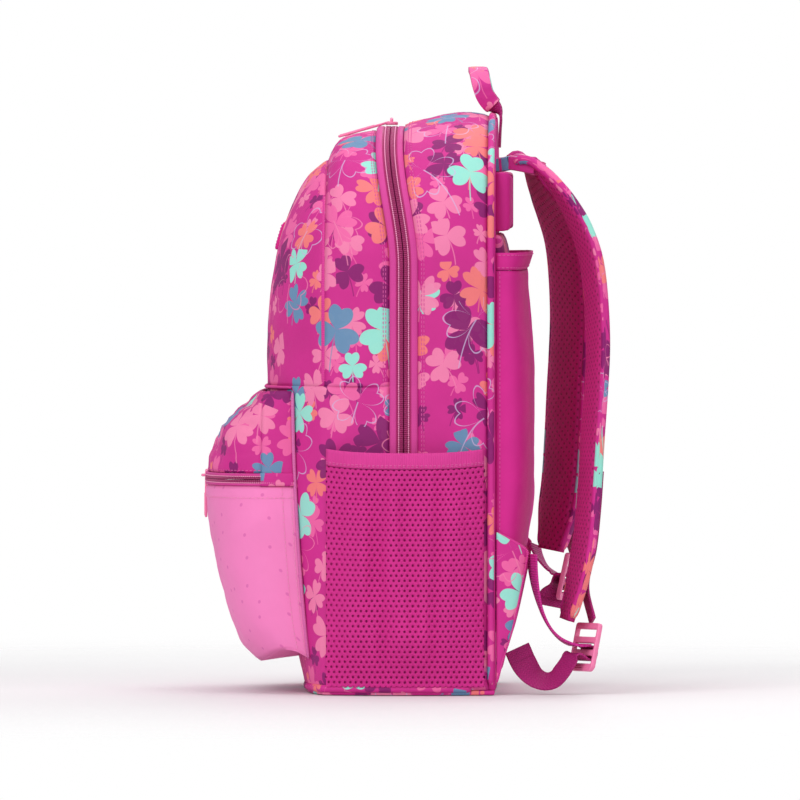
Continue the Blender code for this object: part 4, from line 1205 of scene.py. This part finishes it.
# ---- Side mesh pockets ----
def pouch_point(share, z, side, seed):
    """A point of the pouch at a share of the way back and a height: gathered at its foot, in soft folds."""
    level = (z - FOOT_Z) / (SIDE_POCKET_TOP_Z - FOOT_Z)
    bow = POUCH_BOW * float(smooth_step(level / 0.24) * (1 - 0.15 * smooth_step((level - 0.46) / 0.54)))
    y = POUCH_START_Y + share * POUCH_LENGTH
    full = 1 - abs(2 * share - 1) ** 3
    folds = noise.fractal(Vector((share * 6.0, level * 1.1, seed)), 0.9, 2.0, 2)
    folds -= 0.8 * math.exp(-((share - 0.66 - 0.06 * level) / 0.050) ** 2)
    folds -= 0.5 * math.exp(-((share - 0.38 + 0.10 * level) / 0.045) ** 2)
    folds *= 0.0062 * full * float(smooth_step(level * 4) * smooth_step((1.0 - level) * 5))
    out = half_width(y) + THIN_FABRIC + 0.0012 + bow * full + max(folds, -0.5 * bow)
    dip = 0.0030 * full * level * level
    return Vector((side * out, y, z - dip))


def pouch_rows(low, high, count, side, seed):
    """Rows of the pouch between two heights, in the order that faces out."""
    rows = [[pouch_point(share, z, side, seed) for share in between(0.0, 1.0, 50)]
            for z in between(low, high, count)]
    return [row[::-side] for row in rows]


def build_net(label, side, seed, top):
    """A net of six-sided holes over the pouch."""
    columns, rows = int(POUCH_LENGTH / NET_COLUMN), int((top - FOOT_Z) / NET_ROW)
    bm = bmesh.new()
    knots = {}

    def knot(column, row):
        key = (round(column, 3), round(row, 3))
        if key not in knots:
            share = min(max(column / columns, 0.0), 1.0)
            level = min(max(row / rows, 0.0), 1.0)
            z = FOOT_Z + 0.0020 + level * (top - GAP - FOOT_Z - 0.0020)
            knots[key] = (bm.verts.new(pouch_point(share, z, side, seed)), (share * POUCH_LENGTH, z, 0.0))
        return knots[key][0]

    corners = ((0.0, -1.33), (1.0, -0.67), (1.0, 0.67), (0.0, 1.33), (-1.0, 0.67), (-1.0, -0.67))
    for j in range(0, rows + 1, 2):
        for i in range((j // 2) % 2, columns + 1, 2):
            outer = [knot(i + a, j + b) for a, b in corners]
            inner = [knot(i + a * HOLE_SHARE, j + b * HOLE_SHARE) for a, b in corners]
            for k in range(6):
                quad = [outer[k], outer[(k + 1) % 6], inner[(k + 1) % 6], inner[k]]
                if len(set(quad)) == 4 and len({tuple(v.co) for v in quad}) == 4:
                    bm.faces.new(quad[::side])
    mesh = bpy.data.meshes.new(f"side_pocket_{label}")
    bm.to_mesh(mesh)
    bm.free()
    store_cloth(mesh, [place for _, place in knots.values()])
    mesh.shade_smooth()
    net = add_piece(f"side_pocket_{label}", mesh, "mesh", "pack")
    thicken(net, 0.0007)
    return net


def build_side_pocket(label, side):
    """A mesh pocket: the net, the closer net behind it and the elastic binding."""
    seed = 20.0 + side
    band = SIDE_POCKET_TOP_Z - POUCH_BAND
    net = build_net(label, side, seed, band)
    # A closer net behind the first keeps the print from showing through its holes.
    backing = Panel(pouch_rows(FOOT_Z + 0.0020, band, 50, side, seed))
    backing.points[..., 0] -= side * 0.0014
    backing.build(f"side_pocket_backing_{label}", "net_backing", "pack", 0.0006)

    tape = Panel(pouch_rows(band, SIDE_POCKET_TOP_Z, 9, side, seed))
    tape.push(np.full(tape.u.shape, 0.0008)).slack(0.0003, grain=(60, 10), seed=5.0, tuck=0.0006)
    tape.build(f"side_pocket_binding_{label}", "binding", "pack", 0.0018, print_at=(tape.v, tape.u))
    tape.stitch(f"side_pocket_stitches_{label}", "pack", rows=(1.2, 1.9))
    width = length_of([pouch_point(share, 0.10, side, seed) for share in between(0.0, 1.0, 60)])


# ---- Padded pieces ----
def swell_cloth(piece, pressure, cap):
    """Fills a closed pad with air by cloth simulation, with a limit on how far any point moves."""
    last_step = 20
    rest = np.array([v.co for v in piece.data.vertices])
    cloth = piece.modifiers.new("Cloth", "CLOTH")
    cloth.settings.quality = 5
    cloth.settings.mass = 0.15
    cloth.settings.tension_stiffness = 12.0
    cloth.settings.compression_stiffness = 12.0
    cloth.settings.bending_stiffness = 0.4
    cloth.settings.use_pressure = True
    cloth.settings.uniform_pressure_force = pressure
    cloth.settings.effector_weights.gravity = 0.0
    cloth.point_cache.frame_start = 1
    cloth.point_cache.frame_end = last_step
    scene = bpy.context.scene
    for step in range(1, last_step + 1):
        scene.frame_set(step)
    depsgraph = bpy.context.evaluated_depsgraph_get()
    swollen = piece.evaluated_get(depsgraph).to_mesh()
    moved = np.array([v.co for v in swollen.vertices]) - rest
    piece.modifiers.clear()
    scene.frame_set(1)
    reach = np.linalg.norm(moved, axis=1, keepdims=True)
    moved *= np.minimum(1.0, cap / np.maximum(reach, 1e-9))
    piece.data.vertices.foreach_set("co", (rest + moved).ravel())


def closed_pair(name, layers, rows, columns, look, body):
    """A closed piece between two grids of points that share their rim's outline."""
    count = rows * columns
    faces = [face[::-1] for face in grid_quads(rows, columns)] + grid_quads(rows, columns, count)
    foot = list(range(columns))
    right = [j * columns + columns - 1 for j in range(1, rows)]
    head = [(rows - 1) * columns + i for i in range(columns - 2, -1, -1)]
    left = [j * columns for j in range(rows - 2, 0, -1)]
    rim = foot + right + head + left
    for a, b in zip(rim, rim[1:] + rim[:1]):
        faces.append((a, b, b + count, a + count))
    points = layers[0] + layers[1]
    piece = add_piece(name, make_mesh(name, points, faces, points), look, body)
    bm = bmesh.new()
    bm.from_mesh(piece.data)
    bmesh.ops.recalc_face_normals(bm, faces=bm.faces)
    bm.to_mesh(piece.data)
    bm.free()
    return piece


def swollen_pad(name, box, look, channels=0, rim=0.40):
    """A pad in a box: flat in front, crowned behind, with sewn channels, swollen by cloth simulation.

    rim is the share of its full depth at its edges.
    """
    low, high = box
    size = high - low
    middle_x, middle_z = (low.x + high.x) / 2, (low.z + high.z) / 2
    count = 30  # points along and across each face
    layers = []
    for outer in (False, True):
        layer = []
        for z in between(-1.0, 1.0, count):
            for x in between(-1.0, 1.0, count):
                lift = (1 - abs(x) ** 7) * (1 - abs(z) ** 7)
                depth = size.y * (rim + (0.90 - rim) * lift) if outer else -PAD_TUCK
                layer.append((middle_x + x * size.x / 2, low.y + depth, middle_z + z * size.z / 2))
        layers.append(layer)
    piece = closed_pair(name, layers, count, count, look, "pack")
    swell_cloth(piece, 2.5, size.y * 0.22)
    pitch = size.z / (channels + 1)
    for vertex in piece.data.vertices:
        nearest = min(max(round((vertex.co.z - low.z) / pitch), 1), channels) * pitch + low.z
        groove = math.exp(-((vertex.co.z - nearest) / 0.0035) ** 2) if channels else 0.0
        depth = min(vertex.co.y - low.y, size.y)
        vertex.co.y = low.y + max(depth, -PAD_TUCK) * (1 - 0.40 * groove)
    smooth = piece.modifiers.new("Smooth", "SUBSURF")
    smooth.levels = smooth.render_levels = 1
    apply_modifiers(piece)
    store_cloth(piece.data, [(v.co.x, v.co.z, 0.0) for v in piece.data.vertices])
    piece.data.shade_smooth()


def sleeve_rows(low, high, count, flare):
    """Rows across the back: the cloth runs round the cushion to the side seams and sags above its foot."""
    made = []
    for z in between(low, high, count):
        belly = smooth_step((SLEEVE_TOP_Z - z) / 0.080) * smooth_step((z - SLEEVE_BOTTOM_Z) / 0.045)
        depth = SLEEVE_REAR_Y - PANEL_REAR_Y + SLEEVE_BELLY * float(belly) + flare * (z - low) / (high - low)
        row = []
        for angle in between(0.0, math.pi, 161):
            x = SLEEVE_HALF_WIDTH * math.copysign(abs(math.cos(angle)) ** 0.5, math.cos(angle))
            row.append((-x, PANEL_REAR_Y + depth * max(math.sin(angle), 0.0) ** 0.5, z))
        made.append(spaced(row, 91))
    return made


def build_back():
    # The two pads are sewn together between them.
    low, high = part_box("back_cushion")
    high.z += 0.0015
    swollen_pad("back_cushion", (low, high), "printed", channels=4)
    low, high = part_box("yoke_pad")
    low.z -= 0.0015
    high.z += 0.0028
    swollen_pad("yoke_pad", (low, high), "plain", rim=0.78)

    sleeve = Panel(sleeve_rows(SLEEVE_BOTTOM_Z, SLEEVE_TOP_Z - GAP, 56, 0.0))
    sleeve.slack(0.0014, grain=(10, 14), seed=31.0, tuck=0.0004)
    sleeve_piece = sleeve.build("trolley_sleeve", "plain", "pack", 0.0012)
    sleeve.stitch("sleeve_stitches", "pack", columns=(1.0, -1.0))
    hem = Panel(sleeve_rows(SLEEVE_TOP_Z, HEM_TOP_Z, 8, 0.0045)).slack(0.0003, seed=32.0, tuck=0.0006)
    hem_piece = hem.build("trolley_sleeve_hem", "plain", "pack", 0.0018)
    hem.stitch("hem_stitches", "pack", rows=(1.0, -1.0))
    width = length_of(sleeve.points[20])
    for label, side in SIDES:
        build_wing(label, side)


def build_wing(label, side):
    """A padded triangle sewn along the rear seam."""
    turn = Matrix.Rotation(math.radians(90 + 18 * side), 4, "Z") @ Matrix.Rotation(math.pi / 2, 4, "X")
    place = Matrix.Translation((side * 0.1455, REAR_SEAM_Y + 0.0045, 0.0)) @ turn
    rows, columns = 34, 9
    layers = []
    for sign in (-1, 1):
        layer = []
        for z in between(0.0084, 0.1255, rows):
            depth = smooth_value(WING_LINE, z)
            for share in between(0.0, 1.0, columns):
                thick = 0.0006 + 0.0018 * (1 - abs(2 * share - 1) ** 3) * min(depth / 0.010, 1.0)
                layer.append(place @ Vector((depth * share, z, sign * thick)))
        layers.append(layer)
    wing = closed_pair(f"wing_{label}", layers, rows, columns, "printed", "pack")
    store_cloth(wing.data, [(v.co.y, v.co.z, 0.0) for v in wing.data.vertices])
    edge = [place @ Vector((smooth_value(WING_LINE, z) - 0.0004, z, 0.0))
            for z in between(0.0100, 0.1245, 60)]
    tube(f"wing_binding_{label}", edge, 0.0013, "binding", "pack", sides=8)


# ---- Carry handle ----
def build_handle():
    line = smooth_line(HANDLE_LEG + tuple((-x, y, z) for x, y, z in HANDLE_LEG[-2::-1]), 161)
    first = next(i for i, point in enumerate(line) if point.z > HANDLE_SLEEVE_Z)
    sleeve = line[first:len(line) - first]

    def across(i):
        """The webbing lies flat on the back at its feet and turns a quarter on its way up."""
        angle = 90 * float(smooth_step((line[i].z - HANDLE_TURN_Z) / HANDLE_TURN_RISE))
        return turned(angle if i <= (len(line) - 1) / 2 else 180 - angle)

    def width(i):
        return 0.0172 - 0.0016 * math.exp(-min(i, len(sleeve) - 1 - i) / 2.0)

    ribbon("handle_webbing", line, across, 0.0145, 0.0016, "webbing", "carry_handle")
    ribbon("handle_sleeve", sleeve, lambda i: across(i + first), width, 0.0050, "printed",
           "carry_handle", round_edge=0.7)
    rows = []
    for sign in (1, -1):
        row = []
        for i in range(1, len(sleeve) - 1):
            side = across(i + first)
            face = heading(sleeve, i).cross(side).normalized()
            row.append((sleeve[i] + side * (sign * 0.0066) - face * 0.0019, -face))
        rows.append(row)
    stitching("handle_stitches", rows, "carry_handle", pitch=0.0028)


# ---- Shoulder straps ----
def build_strap(label, side, reach, drop, bow, twist, lock_turn, tail_turn, tail):
    """A padded strap, the webbing that joins it to the wing, and its ladder lock."""
    strap_body, lock_body = f"strap_{label}", f"lock_{label}"
    top = PAD_LINE[0][1]
    points = []
    for i, (depth, height) in enumerate(PAD_LINE):
        share = i / (len(PAD_LINE) - 1)
        swing = (STRAP_END_X - STRAP_ROOT_X) * float(smooth_step(share))
        x = STRAP_ROOT_X + swing + bow * math.sin(math.pi * share) ** 2
        points.append((side * x, PAD_ROOT_Y + depth * reach, top - (top - height) * drop))
    line = smooth_line(points, 121)
    last = len(line) - 1

    def width(i):
        widening = (PAD_WIDTH - PAD_ROOT_WIDTH) * float(smooth_step(i / last / 0.16))
        return PAD_ROOT_WIDTH + widening - 0.018 * float(smooth_step((i / last - 0.88) / 0.12))

    def thickness(i):
        filling = (PAD_THICKNESS - PAD_ROOT_THICKNESS) * float(smooth_step(i / last / 0.12))
        return PAD_ROOT_THICKNESS + filling - 0.004 * float(smooth_step((i / last - 0.9) / 0.1))

    def axes(i):
        """Directions across the pad and out of its outer face."""
        along = heading(line, i)
        wide = turned(twist * float(smooth_step(i / last * 4)))
        wide = (wide - along * wide.dot(along)).normalized()
        return wide, wide.cross(along)

    build_pad(label, line, axes, width, thickness, strap_body)

    # The folded root between the back panel and the pad runs into the strap's line; it is taken off its body
    # and stays where it is built.
    x = points[0][0]
    fold = [Vector((x, PANEL_REAR_Y - 0.0010, 0.4085)), Vector((x, 0.0800, 0.4092)),
            Vector((x, PAD_ROOT_Y - 0.0010, 0.4100)), line[7]]
    root = ribbon(f"strap_root_{label}", smooth_line(fold, 16), lambda i: turned(0), 0.0375, 0.0110,
                  "printed", "pack", round_edge=0.45)
    root.parent = None
    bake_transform(root)

    # The webbing sewn on the outer face leaves the pad and reaches the lock's top bar.
    bar = Vector(points[-1]) + Vector((side * 0.006, 0.0170, -0.0070))
    sewn = [line[i] + axes(i)[1] * (thickness(i) / 2 + WEBBING_THICKNESS / 2 + 0.0010)
            for i in range(84, last - 5, 9)]
    sewn.append(bar + Vector((0.0, 0.0030, 0.0060)))
    webbing(f"strap_webbing_{label}", sewn, 60, (twist, twist), "webbing", strap_body)

    place = (Matrix.Translation(bar) @ Matrix.Rotation(math.radians(lock_turn), 4, "Z")
             @ Matrix.Rotation(math.radians(90 - LOCK_LEAN), 4, "X"))
    build_lock(label, place, lock_body)

    # The lower webbing comes from the wing to the front of the lock.
    facing = math.radians(lock_turn)
    mouth = bar + Vector((0.0135 * math.sin(facing), -0.0135 * math.cos(facing), -0.0120))
    tip = Vector((side * WING_TIP.x, WING_TIP.y + 0.0041, WING_TIP.z - 0.0015))
    corner = Vector(((tip.x + mouth.x) / 2, tip.y + 0.0034, mouth.z + 0.0065))
    curve = [bend(tip, corner, mouth, t) for t in between(0.0, 1.0, 9)]
    slot = place @ Vector((0.0, -0.0128, 0.0028))
    turns = (side * 20, side * 14, side * 6, side * 8, lock_turn)
    webbing(f"lower_webbing_{label}", curve + [slot], 90, turns, "ribbed_webbing", strap_body)

    build_tail(label, side, bar, place, lock_turn, tail_turn, tail, lock_body)


def build_tail(label, side, bar, place, lock_turn, tail_turn, tail, body):
    """The webbing turns round the lock's third bar and hangs down as the tail, with a sewn hem."""
    loop = [place @ Vector((0.0, y, z)) for y, z in TAIL_LOOP]
    hang = [bar + Vector(step) + Vector((0.0, 0.0, 0.0015)) for step in tail]
    strip = smooth_line(loop + hang, TAIL_POINTS)
    start = turned(lock_turn)
    # Shares of the webbing's width that show from the side, at the lock and at the tail's end
    at_lock, at_end = (abs(math.sin(math.radians(turn))) for turn in (lock_turn, tail_turn))

    def across(i):
        if i < TAIL_TURN_FROM:
            return start
        along = heading(strip, i)
        edge_up = Vector((0.0, -along.z, along.y)) * side
        share = float(smooth_step((i - TAIL_END_FROM) / 30))
        flat = at_lock * (1 - share) + at_end * share
        wide = edge_up * flat + Vector((1.0, 0.0, 0.0)) * math.sqrt(1 - flat * flat)
        return start.lerp(wide, float(smooth_step((i - TAIL_TURN_FROM) / 12)))

    ribbon(f"webbing_tail_{label}", strip, across, WEBBING_WIDTH - 0.0015, WEBBING_THICKNESS, "webbing", body)
    hem = TAIL_POINTS - TAIL_HEM
    ribbon(f"tail_hem_{label}", strip[hem:], lambda i: across(i + hem), WEBBING_WIDTH - 0.0019,
           2.0 * WEBBING_THICKNESS, "webbing", body)


def webbing(name, points, count, turns, look, body):
    """A strip of webbing whose width turns about the upright through evenly spaced angles."""
    table = list(zip(between(0, count - 1, len(turns)), turns))
    ribbon(name, smooth_line(points, count), lambda i: turned(smooth_value(table, i)), WEBBING_WIDTH,
           WEBBING_THICKNESS, look, body)


def build_lock(label, place, body):
    """A ladder lock with three slots, rounded bars and the grip ribs of its lifting edge."""
    outline = rounded([(-0.0150, 0.0050), (0.0150, 0.0050), (0.0150, -0.0300), (0.0120, -0.0330),
                       (-0.0120, -0.0330), (-0.0150, -0.0300)], 0.0030)
    slots = [rounded([(-0.0125, a), (0.0125, a), (0.0125, b), (-0.0125, b)], 0.0012)
             for a, b in ((0.0, -0.0060), (-0.0110, -0.0160), (-0.0210, -0.0270))]
    plate(f"ladder_lock_{label}", [outline, *slots], 0.0040, 0.0009, "plastic", body, place)
    ribs = [(place @ Vector((0.0, -0.0283 - 0.0014 * k, 0.0020)), *place.to_3x3().transposed())
            for k in range(3)]
    scattered(f"lock_grip_{label}", bean(0.0200, 0.0008, 0.0010), ribs, "plastic", body)


def build_pad(label, line, axes, width, thickness, body):
    """The strap's pad: printed outside, air mesh inside, with bound edges."""
    half = 12  # points on each face
    rings, cloth = [], []
    for i, (centre, run) in enumerate(zip(line, runs_of(line))):
        wide, out = axes(i)
        w, t = width(i) / 2 - 0.0012, thickness(i) / 2
        ring = []
        for sign in (1, -1):
            for share in [sign * (1 - 2 * (k + 0.5) / half) for k in range(half)]:
                swell = noise.fractal(Vector((share * 1.5, run * 22, 40.0 + sign)), 0.9, 2.0, 2)
                rise = t * (0.42 + 0.58 * (1 - abs(share) ** 3) ** 0.6) + 0.0006 * swell * (1 - share * share)
                ring.append(centre + wide * (w * share) + out * (sign * rise))
                cloth.append((w * share, run, 0.0))
        rings.append(ring)
    piece = sweep(f"strap_pad_{label}", rings, cloth, "printed", body, flipped=True,
                  inlay=("air_mesh", range(half, 2 * half)))
    for edge, sign in (("outer", 1), ("inner", -1)):
        rim = [line[i] + axes(i)[0] * (sign * (width(i) / 2 - 0.0016)) for i in range(1, len(line) - 1)]
        tube(f"strap_edge_{edge}_{label}", rim, 0.0028, "printed", body, squash=1.25,
             facing=lambda i: axes(i + 1)[1])


# ---- Stage ----
def build_stage():
    half = FLOOR_SIZE / 2
    mesh = bpy.data.meshes.new("floor")
    corners = ((-half, -half, 0.0), (half, -half, 0.0), (half, half, 0.0), (-half, half, 0.0))
    mesh.from_pydata(corners, [], [(0, 1, 2, 3)])
    floor = bpy.data.objects.new("floor", mesh)
    bpy.context.scene.collection.objects.link(floor)
    mesh.materials.append(floor_look())
    floor.location.z = -0.0005

    # The camera sees a white background, and the bag gets the even light from all round.
    world = bpy.data.worlds.new("studio")
    world.use_nodes = True
    tree = world.node_tree
    seen = tree.nodes.new("ShaderNodeLightPath").outputs["Is Camera Ray"]
    strength = tree.nodes.new("ShaderNodeMath")
    strength.operation = "MULTIPLY_ADD"
    tree.links.new(seen, strength.inputs[0])
    strength.inputs[1].default_value = 1.0 - SKY_LIGHT
    strength.inputs[2].default_value = SKY_LIGHT
    background = tree.nodes["Background"]
    background.inputs["Color"].default_value = (1.0, 1.0, 1.0, 1.0)
    tree.links.new(strength.outputs[0], background.inputs["Strength"])
    bpy.context.scene.world = world
    bpy.context.scene.view_settings.view_transform = "Standard"

    for name, place, size, power in LAMPS:
        light = bpy.data.lights.new(name, "AREA")
        light.size = size
        light.energy = power
        lamp = bpy.data.objects.new(name, light)
        bpy.context.scene.collection.objects.link(lamp)
        lamp.location = place
        lamp.rotation_euler = (Vector((0.0, 0.0, 0.2)) - Vector(place)).to_track_quat("-Z", "Y").to_euler()


def build_camera():
    """Side view of the near side, slightly from behind and above."""
    data = bpy.data.cameras.new("camera")
    camera = bpy.data.objects.new("camera", data)
    bpy.context.scene.collection.objects.link(camera)
    azimuth, elevation = math.radians(91.0), math.radians(1.0)
    target = Vector((0.0, -0.0025, 0.2250))
    toward = Vector((math.cos(elevation) * math.sin(azimuth), -math.cos(elevation) * math.cos(azimuth),
                     math.sin(elevation)))
    camera.location = target + toward * CAMERA_DISTANCE
    camera.rotation_euler = (-toward).to_track_quat("-Z", "Y").to_euler()
    data.sensor_width = SENSOR_WIDTH
    data.lens = SENSOR_WIDTH * CAMERA_DISTANCE / VIEW_WIDTH
    bpy.context.scene.camera = camera


# ---- Assembly ----
build_body()
build_flap()
build_main_zip()
build_sliders()
build_pocket()
build_lid()
for label, side in SIDES:
    build_side_pocket(label, side)
build_back()
build_handle()
for label, strap in STRAPS.items():
    build_strap(label, **strap)
build_stage()
build_camera()
